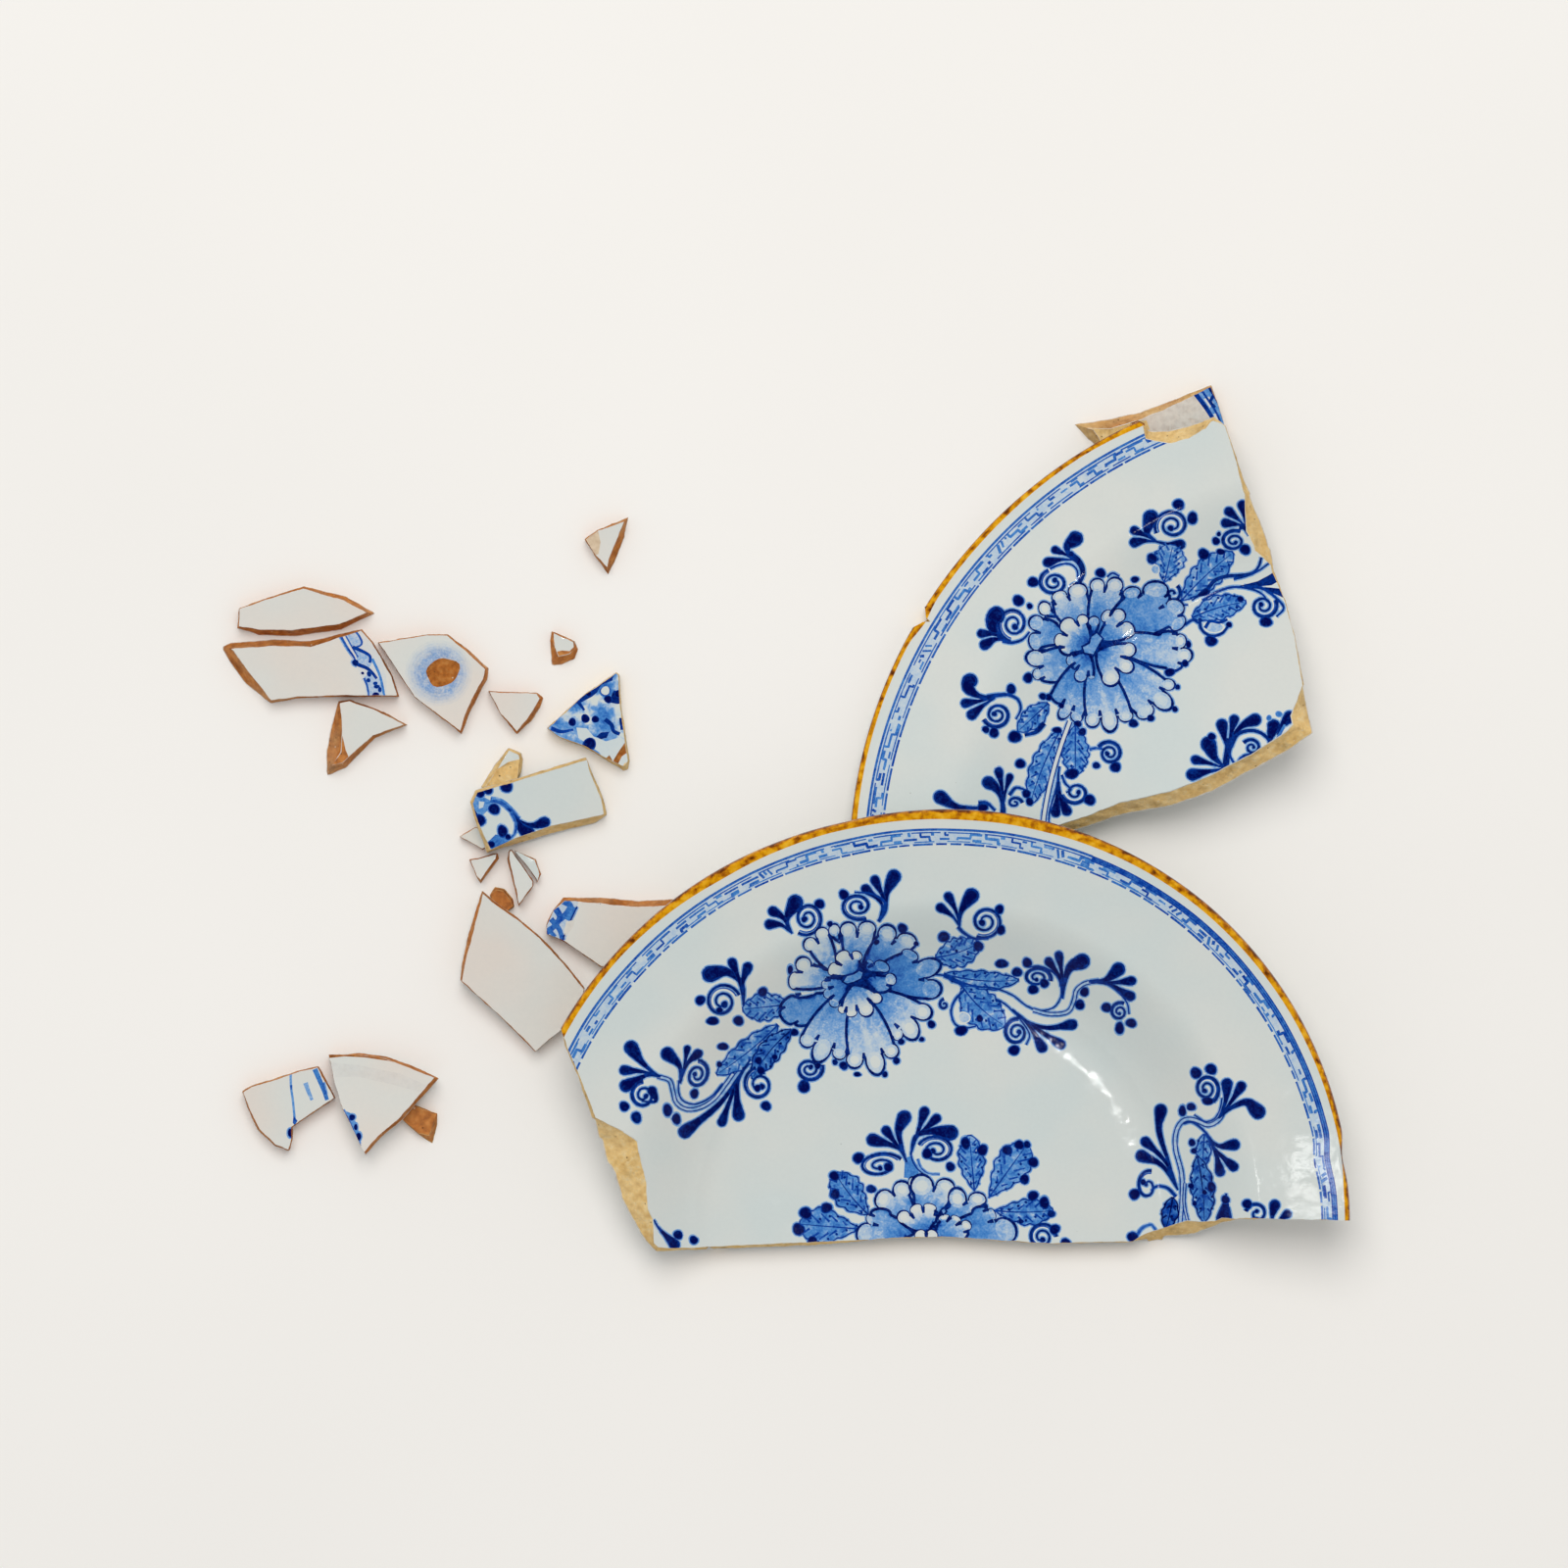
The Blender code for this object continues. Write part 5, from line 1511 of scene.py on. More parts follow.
def paint_upper_right(brush):
    brush.leaf((115, 63), (130, 77), 9.5, 0.05, 0.4, 6, 7, 1.15)
    brush.leaf((118, 58), (133.8, 62.6), 8.0, 0.08, 0.42)
    brush.dot(124.3, 55.3, 3.2, 1.8, depth=0.04)
    brush.line([(120.3, 58), (120.7, 54.8), (123.3, 52.8), (126.5, 53.4), (128.8, 56)], 0.8, 0.7, 0.84)
    brush.line([(121.8, 55), (123.3, 57), (126, 56.6), (128.3, 57.5)], 0.9, 0.6)
    brush.curl(130, 80.2, 4.0, 3.3, 60, 1, 1.7)
    brush.line([(131.5, 84.4), (133.2, 84), (134.6, 81.8)], 1.5, 0.9, 0.9)
    brush.spray((133.3, 84.5), (1.4, (132.9, 87.8), (132.3, 90.6)), (1.4, (131, 86.6), (128.5, 88.7)),
                (1.4, (130.8, 85), (127.6, 85.4)))
    brush.line([(122, 65.5), (124.5, 68.7), (128, 70), (132, 70.3), (135.5, 71), (137.3, 73), (138, 75.5)],
               1.1, 0.6, 0.86)
    brush.line([(130, 69.2), (134, 70.2), (137.2, 71.6), (140.5, 74)], 0.7, 0.4)
    brush.line([(121, 63), (125, 65.4), (130, 66.9), (135, 66.3), (138.3, 64.8), (139.8, 62.6)], 0.7, 0.5)
    brush.stroke([(131.5, 67.2), (137, 68.6), (140, 70.2), (141.8, 71.4), (143.6, 69), (141, 67.4),
                  (137, 67)], blue(0.92))
    brush.stroke([(135.5, 66.9), (140, 66.8), (143.5, 66.4), (146, 63), (142, 64.8), (139, 65.9)], blue(0.88))
    brush.line([(133, 67), (138, 66.6), (142, 63.9), (144.4, 60.8), (142.3, 58.2)], 1.0, 0.5, 0.8)
    brush.curl(138.6, 61.3, 4.2, 3.9, 30, -1, 1.7)
    brush.line([(114, 61.6), (117, 61.8)], 0.8, 0.4)
    brush.line([(116, 56), (118.3, 57.4), (120, 56.4)], 0.8, 0.6)
    brush.drop(1.2, (118, 63), (120, 64.5), (122.2, 65.6))
    brush.dots((121.4, 76.4, 1.7), (124.9, 80.2, 1.2), (125.7, 82.2, 0.7), (133.3, 77.7, 1.6),
               (126.3, 77.1, 1.4, 0.9), (123.5, 51.3, 1.9, 1.6), (132, 63.4, 1.1, 0.9),
               (139.3, 56.8, 2.0, 1.5), (128.7, 56, 0.9))


def paint_upper_lower_edge(brush):
    brush.leaf((80, 25.5), (71, 3.5), 8.0, -0.06, 0.42, 6, 7)
    brush.leaf((84.3, 27), (84.2, 12), 8.6, 0.0, 0.42, 6, 5, 1.15)
    brush.dot(83.2, 12.8, 2.2, 1.6)
    brush.stem([(82.7, 28), (79.8, 20), (77.2, 11), (75.2, 1), (75, -4)], 1.5, 0.03)
    brush.line([(79.6, 15), (78.8, 9), (76.8, 2), (76.5, -3)], 0.6, 0.4)
    brush.spray((79.3, 13), (1.5, (79.2, 8), (78.5, 1.6)), (1.5, (79.8, 6.5), (81.7, 2)))
    brush.curl(84.3, 7.3, 4.2, 3.7, 190, 1, 1.5)
    brush.line([(80.3, 12.5), (81.3, 10), (83, 8.2), (81.5, 7.3)], 0.7, 0.4)
    brush.line([(88.3, 19.8), (90.5, 20.2), (93, 19.7)], 0.8, 0.4, 0.66)
    brush.curl(94.2, 18.7, 3.9, 3.8, 150, -1)
    brush.line([(63.3, -1), (63.2, 4)], 1.4, 1.2, 0.92)
    brush.spray((63.3, 1.5), (1.9, (62.6, 6), (61, 8.8), (59, 10.2)), (1.3, (63, 8), (62, 13.5)),
                (1.1, (63.8, 7), (65.2, 11.8)))
    brush.line([(65, 6.5), (67, 8.7), (70, 8)], 0.9, 0.5)
    brush.curl(66.6, 4.3, 2.3, 1.8, 0, 1, 1.2)
    brush.drop(2.0, (59, 2.8), (50, 3.2), (45, 6))
    brush.line([(56, 4.2), (58.5, 4.3), (61, 2)], 1.0, 0.6)
    brush.line([(127.2, 12), (127.7, 17), (128.6, 23)], 1.8, 1.4, 0.9)
    brush.spray((127.5, 14.3), (1.8, (122.5, 13.4), (117.9, 12.5)), (1.4, (122.5, 15.9), (118.8, 16.8)),
                (2.3, (124.3, 17.5), (122.6, 21.3)))
    brush.spray((128.2, 19), (1.7, (127.2, 23), (126.5, 27)), (1.4, (129, 24), (130, 28.5)),
                (1.8, (130, 24), (132.5, 26.8), (136, 28.4)))
    brush.line([(129, 20.5), (131, 24.2), (135, 25.3), (138.5, 24), (140.2, 21.5), (139.2, 19)], 1.0, 0.8,
               0.86)
    brush.line([(130.5, 14.8), (128.7, 18.3), (129.5, 21.5)], 0.7, 0.5)
    brush.curl(135, 20.4, 2.8, 2.6, 150, -1, 1.4)
    brush.line([(130.8, 15), (132, 17.4), (134.5, 18.3), (137, 17.5)], 0.9, 0.6)
    brush.drop(1.9, (140, 19.5), (140.3, 23), (141.3, 26.6))
    brush.drop(1.8, (142.3, 24), (144, 27), (145.9, 29.2))
    brush.line([(141.5, 21.5), (143.5, 25), (144.5, 27)], 0.9, 0.6, 0.5)
    brush.dot(142.8, 30, 1.1, 1.0, depth=0.36)
    brush.dot(140, 28.9, 0.9, depth=0.36)
    brush.dots((123.5, 23.5, 1.2), (68.3, 15.7, 1.5), (95.8, 14.7, 1.7, 1.5), (90.3, 15.2, 1.1),
               (88.3, 5.2, 1.7), (70, 7, 1.3), (71, 4.7, 1.2), (57.3, 3, 1.6, 1.3))


def paint_upper_rim(brush):
    paint_upper_border(brush)
    paint_upper_lower_edge(brush)
    paint_upper_left(brush)
    paint_upper_right(brush)
    paint_upper_flower(brush)


def whole(sherd):
    """An outline well outside a sherd."""
    low, high = sherd.corners[:, :2].min(0) - 3, sherd.corners[:, :2].max(0) + 3
    return [(low[0], low[1]), (high[0], low[1]), (high[0], high[1]), (low[0], high[1])]


def paint_scroll_band(brush):
    brush.stroke([(-130, 54.5), (-121.5, 56), (-118.5, 50), (-115.8, 41), (-115.6, 33), (-121, 33),
                  (-123, 41), (-126, 47)], blue(0.03))
    brush.stroke([(-127.5, 55.5), (-124.5, 54), (-122.8, 51), (-124, 49.4), (-126.8, 50.4)], blue(0.14))
    brush.stroke([(-125.2, 49.5), (-121, 48), (-119.5, 45.5), (-121, 43.3), (-124, 44.5)], blue(0.16))
    brush.stroke([(-122.3, 41), (-119.5, 42), (-117.5, 40), (-116.5, 34), (-121, 34)], blue(0.12))
    brush.line([(-130, 54.5), (-127.5, 50), (-125.2, 46.5), (-124.8, 44.8)], 0.7, 0.5, 0.66)
    brush.line([(-128.5, 54.5), (-126, 50), (-124, 46.6)], 0.4, 0.4, 0.6)
    brush.line([(-127, 53.2), (-126, 55), (-124, 53.2), (-122.9, 51), (-123.4, 50), (-125, 49.4)], 0.6, 0.5,
               0.62)
    brush.line([(-125.6, 49.6), (-122, 48), (-120.5, 46.8), (-120.6, 45)], 0.9, 0.7, 0.74)
    brush.line([(-125.2, 45), (-123.6, 44.3), (-121.4, 43.4), (-119.8, 42), (-118.6, 40.4)], 1.0, 0.7, 0.78)
    brush.line([(-119.9, 46.2), (-117.6, 41), (-116.3, 35)], 0.7, 0.6, 0.42)
    brush.line([(-122.3, 40.6), (-121.3, 38), (-120.7, 34)], 0.6, 0.4, 0.6)
    brush.dots((-124.8, 45, 1.0), (-122.7, 42, 0.45), (-120.8, 41.8, 0.7, 0.9, 0.7),
               (-121, 39.9, 0.6, 0.7, 0.7), (-119, 39, 0.7, 0.6, 0.7), (-118.6, 38.1, 0.9, 0.6, 0.7),
               (-117.7, 37.2, 0.6, 0.8, 0.7), (-118.9, 35.7, 1.0, 0.8))
    brush.bare([(-164, 51), (-155, 53.6), (-148, 54), (-141, 52.7), (-143, 51.6), (-148, 51.5), (-154, 50.7),
                (-160.3, 49.4), (-163, 48)], RUST)


def paint_ring_mark(brush):
    turn = np.linspace(0, 2 * math.pi, 26, endpoint=False)
    for radius, cobalt, soil in ((9.8, 0.02, 0.05), (9.0, 0.05, 0.1), (8.2, 0.09, 0.15), (7.2, 0.13, 0.2),
                                 (6.2, 0.17, 0.24)):
        ring = np.column_stack([-100.6 + radius * np.cos(turn), 42.0 + radius * 0.98 * np.sin(turn)])
        brush.stroke(ring, (cobalt, 0.0, soil))
    turn = np.linspace(0, 2 * math.pi, 22, endpoint=False)
    swell = 1 + 0.05 * np.sin(3 * turn + 1) + 0.04 * np.sin(5 * turn)
    x, y = 4.8 * np.cos(turn) * swell, 4.0 * np.sin(turn) * swell
    brush.bare(np.column_stack([-99.4 + x - 0.12 * y, 42.3 + y + 0.22 * x]), (0.0, 0.95, 0.3))


def paint_blue_painted(brush):
    def mottled(points):
        return np.array([blue(0.26 + 0.5 * noise_at(x * 0.22, y * 0.22, 1.0)
                              + 0.3 * noise_at(x * 0.7, y * 0.7, 4.0)) for x, y in points])

    brush.stroke(whole(brush.sherd), blue(0.3))
    for x in np.arange(-70, -44, 2.6):
        for y in np.arange(14, 44, 2.6):
            brush.stroke([(x, y), (x + 2.7, y), (x + 2.7, y + 2.7), (x, y + 2.7)], mottled)
    brush.stroke([(-62, 33), (-57, 38.5), (-53, 41), (-49.5, 42.5), (-50.2, 39.8), (-53.4, 38.6),
                  (-54.6, 36.4), (-56, 35.2), (-59, 33.6)], blue(0.84))
    brush.stroke([(-49.8, 37), (-47.4, 36.9), (-46.8, 33.6), (-48.6, 33), (-51.6, 33.6), (-52.4, 34.8),
                  (-50.6, 35)], blue(0.88))
    brush.dot(-52.2, 36.8, 1.9, 1.7, depth=0.62)
    brush.dot(-52.2, 36.9, 1.3, 1.2, depth=-0.1)
    brush.line([(-60, 33.6), (-58.3, 31.2)], 0.9, 0.6)
    brush.line([(-52.3, 28.6), (-50.4, 27), (-49.8, 25.2), (-48, 24.3)], 1.1, 0.9, 0.84)
    brush.line([(-47.6, 29), (-47.4, 25.5)], 1.0, 0.7, 0.84)
    brush.line([(-68, 26), (-65, 25), (-61.5, 25.6)], 1.1, 0.6, 0.7)
    brush.stroke([(-60.6, 26.2), (-57.6, 26), (-55.6, 23.6), (-52, 22.2), (-48, 23.4), (-45.6, 22), (-44, 13),
                  (-50, 13), (-54, 19), (-60, 23.2)], blue(0.02))
    brush.stroke([(-54.8, 23.6), (-53.4, 24.8), (-51, 25), (-51.8, 23.2), (-53.6, 22.8)], blue(0.86))
    brush.bare([(-50.6, 14), (-49.8, 16.8), (-48.2, 19.4), (-46.4, 22), (-44.8, 21.6), (-45.2, 19.4),
                (-47.4, 17.8), (-48.4, 15.8), (-48.8, 13.4)], (0.0, 0.8, 0.5))
    brush.bare([(-48.4, 13), (-46.6, 15.8), (-44.4, 16.8), (-44.4, 13)], BUFF)
    brush.bare([(-53, 16.4), (-51, 18.2), (-49.8, 16), (-51, 14.6)], (0.1, 0.7, 0.4))
    brush.dots((-61.8, 27.8, 1.2), (-58, 28.8, 1.3), (-55.1, 28.6, 1.1), (-56.8, 21.4, 2.1, 1.8),
               (-57, 36, 0.9), (-51.4, 34.4, 1.2), (-48.4, 36, 1.2))


def paint_leaf_scroll(brush):
    brush.stroke([(-91.5, 6), (-87, 5.8), (-84.5, 4.6), (-86.4, 2), (-88, 0.4), (-91, 2)], blue(0.34))
    brush.stroke([(-88.8, 4.8), (-87.2, 4.6), (-87.6, 3), (-88.8, 2.6)], blue(0.03))
    brush.line([(-92, 4.6), (-90.6, 1.6), (-88.8, -0.6)], 1.7, 1.4, 0.92)
    brush.line([(-85.5, 5.2), (-82.6, 4.6), (-79.8, 2.4), (-77.2, -0.4)], 1.3, 1.0, 0.6)
    brush.line([(-85, 5.6), (-82, 5), (-79.2, 2.8)], 0.5, 0.4, 0.34)
    brush.spray((-80.2, 2.6), (1.6, (-76.6, -1.2), (-73, -2.2), (-69.8, -1.3)),
                (2.0, (-78, -0.6), (-76.4, -3), (-74.6, -4.4)))
    brush.line([(-79.6, 1.8), (-78.1, -1.6), (-78.4, -4.4), (-80.2, -6.4)], 0.7, 0.5, 0.6)
    brush.stroke([(-87, -9.4), (-86, -6.8), (-84, -4.8), (-81, -5.8), (-79.2, -5.8), (-80, -8.4),
                  (-83.5, -9.4)], blue(0.46))
    brush.dots((-88.4, 7.4, 1.6), (-86.2, 8.2, 1.5), (-80.8, 9, 1.9, 1.7), (-84.4, 2.5, 1.7),
               (-88.6, -0.7, 1.8), (-82, -3.9, 1.5, 1.9), (-85.4, -7.8, 1.4, 1.0), (-80.4, -5.6, 0.9))


def paint_blue_end(brush):
    brush.stroke([(-72, -33), (-66, -21), (-60, -24), (-60.4, -26.4), (-64.8, -37), (-70, -36)], blue(0.1))
    for points, wide, depth in (([(-65, -24), (-62.4, -25.6), (-64, -28.4), (-66.4, -30.4)], 1.7, 0.52),
                                ([(-66.6, -26.4), (-65.4, -29), (-67.2, -31.6), (-69.4, -33.6)], 1.6, 0.58),
                                ([(-63.2, -29.8), (-61, -26)], 1.3, 0.46),
                                ([(-68, -29.4), (-65.6, -32.4), (-64.6, -35.6)], 1.4, 0.56),
                                ([(-69, -32), (-66.8, -34.6)], 1.2, 0.5),
                                ([(-60.4, -25.8), (-62.6, -30.6), (-64.8, -36)], 0.45, 0.82)):
        brush.line(points, wide, wide * 0.8, depth)
    brush.stroke([(-63.6, -30.2), (-61, -29.6), (-61.6, -32), (-63.8, -34.4), (-64.2, -33)], (0.0, 0.0, 0.2))


def paint_ridged(brush):
    brush.line([(-143.6, -73), (-143.5, -78), (-142.9, -82.6), (-142.4, -88)], 0.6, 0.6, 0.3)
    brush.line([(-143.5, -77.6), (-143.4, -79)], 0.7, 0.5, 0.5)
    brush.line([(-139.3, -77), (-138.4, -79.6), (-137.4, -82)], 1.2, 0.8, 0.22)
    brush.line([(-136.6, -73), (-135.2, -76.2), (-133.8, -79.6), (-133, -82)], 1.3, 1.0, 0.44)
    brush.line([(-134.4, -77), (-133.4, -80.4)], 0.9, 0.6, 0.56)
    brush.stroke([(-142.8, -86.6), (-141.6, -88), (-142.4, -89.4), (-143, -88.6)], blue(0.6))
    brush.stroke([(-144.2, -90.4), (-142.6, -90), (-142.6, -93.6), (-144, -92.8)], blue(0.66))
    brush.dot(-143.6, -91.5, 0.9, 1.3)


def paint_rim_triangle(brush):
    brush.stroke([(-132.4, -71), (-124, -71.8), (-112, -74.2), (-104, -77.6), (-106, -79.6), (-114, -77.4),
                  (-124, -75.2), (-131.6, -75.4)], (0.01, 0.0, 0.12))
    brush.bare([(-134, -67), (-126, -66.6), (-112, -69), (-100, -74), (-102, -75.4), (-108, -72.4),
                (-115, -70.6), (-118, -70.2), (-122, -69.6), (-128, -69.3), (-133.4, -69.9)],
               (0.0, 0.8, 0.45))
    brush.stroke([(-129, -84.6), (-126.4, -85.6), (-125.2, -86.8), (-124, -90), (-123, -94.4), (-124.6, -96),
                  (-128, -90)], blue(0.3))
    brush.line([(-128.6, -85), (-126.8, -88), (-125, -92), (-123.6, -95.4)], 0.9, 0.7, 0.66)
    brush.dots((-125.7, -87, 0.9, 1.0), (-124.6, -89.8, 0.6, 0.9), (-123.8, -92.6, 0.8, 1.3))


def paint_rough_top(brush):
    brush.bare([(-88.4, 10.6), (-85.4, 13.4), (-82.8, 14.6), (-80.4, 16.2), (-78, 16.8), (-75, 17.4),
                (-76, 8), (-90, 6)], BUFF)
    brush.bare([(-89, 12.6), (-82, 20), (-82.4, 21), (-90, 14)], BUFF)


def paint_chip(brush):
    brush.bare(whole(brush.sherd), RUST)
    brush.stroke([(-67.2, 55), (-67.2, 52), (-66.6, 48.2), (-64.8, 48.6), (-62.6, 48.4), (-60, 51),
                  (-62, 54)], blue(0.0))


def paint_spalled_triangle(brush):
    brush.bare([(-133, 36), (-129.6, 35), (-129.7, 30), (-128.6, 24), (-127.6, 19.6), (-126.8, 17.8),
                (-128, 13), (-134, 13)], RUST)


def paint_stained_triangle(brush):
    brush.stroke([(-59, 84), (-54.4, 83.6), (-53.6, 80), (-54.2, 76.6), (-56, 76), (-59, 80)],
                 (0.0, 0.12, 0.5))


def paint_clay(brush):
    brush.bare(whole(brush.sherd), RUST)


def paint_dirty_band(brush):
    def dirt_and_shade(points):
        return np.array([(0.0, 0.0, 0.36 + 0.7 * max(0.0, noise_at(x * 0.3, y * 0.3, 2.0)))
                         for x, y in points])

    brush.stroke(whole(brush.sherd), (0.0, 0.0, 0.36))
    # A darker mottled band over the lower part, where the sherd lies under the upper rim's broken edge:
    # partly real dirt, partly painted shade of that edge
    for x in np.arange(88, 124, 3.0):
        brush.stroke([(x, 98), (x + 3.1, 98), (x + 3.1, 116), (x, 116)], dirt_and_shade)
    brush.stroke([(119.4, 123), (122.5, 128), (130, 128), (131, 109), (127.6, 111), (125.4, 114.6)],
                 blue(0.3))
    brush.stroke([(121.6, 121.6), (123.2, 122.4), (124.4, 120.4), (123.4, 119)], blue(0.03))
    brush.stroke([(124.4, 117.2), (125.6, 117.8), (126.8, 114.4), (126, 113.8)], blue(0.03))
    brush.line([(119.2, 123.2), (121.6, 120), (123.6, 117), (126, 112.6)], 1.2, 0.9, 0.8)
    brush.line([(120.8, 124.4), (123.4, 120.6), (125.4, 117.4), (127, 113.4)], 0.6, 0.5, 0.7)
    brush.line([(123, 125.6), (124.8, 122.6), (126.6, 119.4), (128.2, 114.6)], 1.0, 0.8, 0.86)
    brush.line([(124.6, 122.8), (123.6, 120.8), (125, 119.2)], 0.9, 0.7, 0.84)
    brush.bare([(82, 118), (90, 116), (98, 115), (105, 115.4), (106, 112.8), (102, 111.4), (96, 109),
                (91, 105), (84, 105)], (0.3, 0.1, 0.1))
    brush.bare([(101, 116), (104.4, 114.6), (104.8, 112.6), (102.6, 113), (100.6, 114.6)], (0.0, 0.9, 0.5))


# ---------------------------------------------------------------- materials

def srgb(*parts):
    """A linear colour from its red, green and blue in 0 to 255."""
    return tuple(((part / 255 + 0.055) / 1.055) ** 2.4 if part > 10 else part / 255 / 12.92
                 for part in parts)


class Finish:
    """A material under construction. Its textures are laid out in millimetres in the sherd's frame."""

    def __init__(self, name):
        self.material = bpy.data.materials.new(name)
        self.material.use_nodes = True
        self.nodes = self.material.node_tree.nodes
        self.links = self.material.node_tree.links
        self.shader = self.nodes["Principled BSDF"]
        coordinates = self.nodes.new("ShaderNodeTexCoord").outputs["Object"]
        self.place = self.node("ShaderNodeVectorMath", [coordinates], operation="SCALE", Scale=1 / MM)

    def node(self, kind, values=(), **settings):
        """Adds a node, sets it up, wires or fills its first inputs in order, and returns its output."""
        node = self.nodes.new(kind)
        for key, value in settings.items():
            if key in node.inputs:
                node.inputs[key].default_value = value
            else:
                setattr(node, key, value)
        for socket, value in zip(node.inputs, values):
            self.put(socket, value)
        return node.outputs[0]

    def put(self, socket, value):
        """Wires an output to a socket, or fills it with a number or colour."""
        if isinstance(value, bpy.types.NodeSocket):
            self.links.new(value, socket)
        elif value is not None:
            socket.default_value = (*value, 1.0) if socket.type == "RGBA" else value

    def set(self, name, value):
        self.put(self.shader.inputs[name], value)

    def noise(self, size, detail=2.0, roughness=0.5, distortion=0.0):
        """Noise from 0 to 1 whose lumps are about this many millimetres across."""
        return self.node("ShaderNodeTexNoise", [self.place], Scale=1 / size, Detail=detail,
                         Roughness=roughness, Distortion=distortion)

    def plus(self, one, other, clamp=False):
        return self.node("ShaderNodeMath", [one, other], operation="ADD", use_clamp=clamp)

    def times(self, one, other, clamp=False):
        return self.node("ShaderNodeMath", [one, other], operation="MULTIPLY", use_clamp=clamp)

    def ranged(self, value, low, high, to_low=0.0, to_high=1.0):
        return self.node("ShaderNodeMapRange", [value, low, high, to_low, to_high])

    def ramp(self, value, stops):
        node = self.nodes.new("ShaderNodeValToRGB")
        elements = node.color_ramp.elements
        while len(elements) < len(stops):
            elements.new(0.5)
        for element, (at, colour) in zip(elements, stops):
            element.position = at
            element.color = (*colour, 1.0)
        self.links.new(value, node.inputs[0])
        return node.outputs[0]

    def mix(self, share, one, other):
        node = self.nodes.new("ShaderNodeMix")
        node.data_type = "RGBA"
        for socket, value in zip((node.inputs[0], node.inputs[6], node.inputs[7]), (share, one, other)):
            self.put(socket, value)
        return node.outputs[2]

    def specks(self, size, share, radius):
        """1 in small round specks, about one to a cell of this size, in this share of the cells."""
        cells = self.nodes.new("ShaderNodeTexVoronoi")
        cells.inputs["Scale"].default_value = 1 / size
        self.links.new(self.place, cells.inputs["Vector"])
        random = self.node("ShaderNodeSeparateColor", [cells.outputs["Color"]])
        chosen = self.node("ShaderNodeMath", [random, share], operation="LESS_THAN")
        near = self.ranged(cells.outputs["Distance"], radius / size * 0.55, radius / size, 1.0, 0.0)
        return self.times(near, chosen)

    def bump(self, height, distance, below=None):
        """A bump this many millimetres high where height is 1."""
        node = self.nodes.new("ShaderNodeBump")
        node.inputs["Distance"].default_value = distance * MM
        self.links.new(height, node.inputs["Height"])
        if below is not None:
            self.links.new(below, node.inputs["Normal"])
        return node.outputs[0]

    def painted(self):
        """The depths of cobalt, ochre and soil, or of pale, rusty and soiled clay."""
        attribute = self.nodes.new("ShaderNodeAttribute")
        attribute.attribute_name = "paint"
        parts = self.nodes.new("ShaderNodeSeparateColor")
        self.links.new(attribute.outputs["Color"], parts.inputs[0])
        return parts.outputs[0], parts.outputs[1], parts.outputs[2]


def glaze(name, white, cool):
    """Tin glaze with cobalt, ochre and soil where the sherd's paint says. On the dirty band sherd's lower
    part the soil is partly painted shade.
    """
    settings = bpy.context.scene.broken_plate
    finish = Finish(name)
    cobalt, ochre, soil = finish.painted()
    broad = finish.noise(34.0)
    fine = finish.noise(1.1, 3.0, 0.6)
    body = finish.mix(finish.ranged(broad, 0.35, 0.65), tuple(white), tuple(cool))
    body = finish.mix(finish.ranged(fine, 0.3, 0.7, 0.0, 0.06), body, srgb(170, 178, 184))
    brush = finish.plus(finish.ranged(finish.noise(2.6, 3.0, 0.65, 0.6), 0.25, 0.75, -0.13, 0.13),
                        finish.ranged(finish.noise(0.55), 0.25, 0.75, -0.09, 0.09))
    depth = finish.plus(cobalt, finish.times(brush, finish.ranged(cobalt, 0.0, 0.25)), clamp=True)
    blue = finish.ramp(depth, [(0.0, settings.cobalt_pale), (0.38, settings.cobalt_mid),
                               (0.68, settings.cobalt_deep), (1.0, settings.cobalt_dark)])
    colour = finish.mix(finish.ranged(depth, 0.0, 0.2), body, blue)
    uneven = finish.ranged(finish.noise(2.2, 3.0, 0.6), 0.3, 0.75, -0.25, 0.4)
    rim = finish.ramp(finish.plus(ochre, uneven, clamp=True),
                      [(0.15, srgb(232, 178, 48)), (0.5, settings.ochre), (0.8, srgb(164, 94, 12)),
                       (1.0, settings.ochre_dark)])
    colour = finish.mix(finish.ranged(ochre, 0.02, 0.3), colour, rim)
    # The soil darkens the glaze towards brown; on the dirty band sherd's lower part it is partly painted
    # shade
    grime = finish.times(soil, finish.ranged(finish.noise(2.2, 4.0, 0.7), 0.3, 0.7, 0.35, 1.0))
    dirt_and_shade = finish.ramp(finish.noise(1.5, 3.0), [(0.35, srgb(150, 112, 78)), (0.65, srgb(208, 184, 160))])
    colour = finish.mix(grime, colour, dirt_and_shade)
    pinholes = finish.specks(7.0, 0.35, 0.16)
    colour = finish.mix(finish.times(pinholes, 0.75), colour, srgb(60, 52, 46))
    finish.set("Base Color", colour)
    rough = finish.ranged(finish.noise(8.0, 3.0), 0.3, 0.7, settings.gloss * 0.75, settings.gloss * 1.35)
    finish.set("Roughness", finish.plus(rough, finish.times(grime, 0.45)))
    swell = finish.bump(finish.noise(9.0, 2.0, 0.4), 0.09)
    peel = finish.bump(finish.noise(2.4, 2.0), 0.02, swell)
    finish.set("Normal", finish.bump(pinholes, -0.08, peel))
    finish.set("Specular IOR Level", finish.ranged(ochre, 0.05, 0.3, 0.5, 0.25))
    finish.set("IOR", 1.5)
    return finish.material


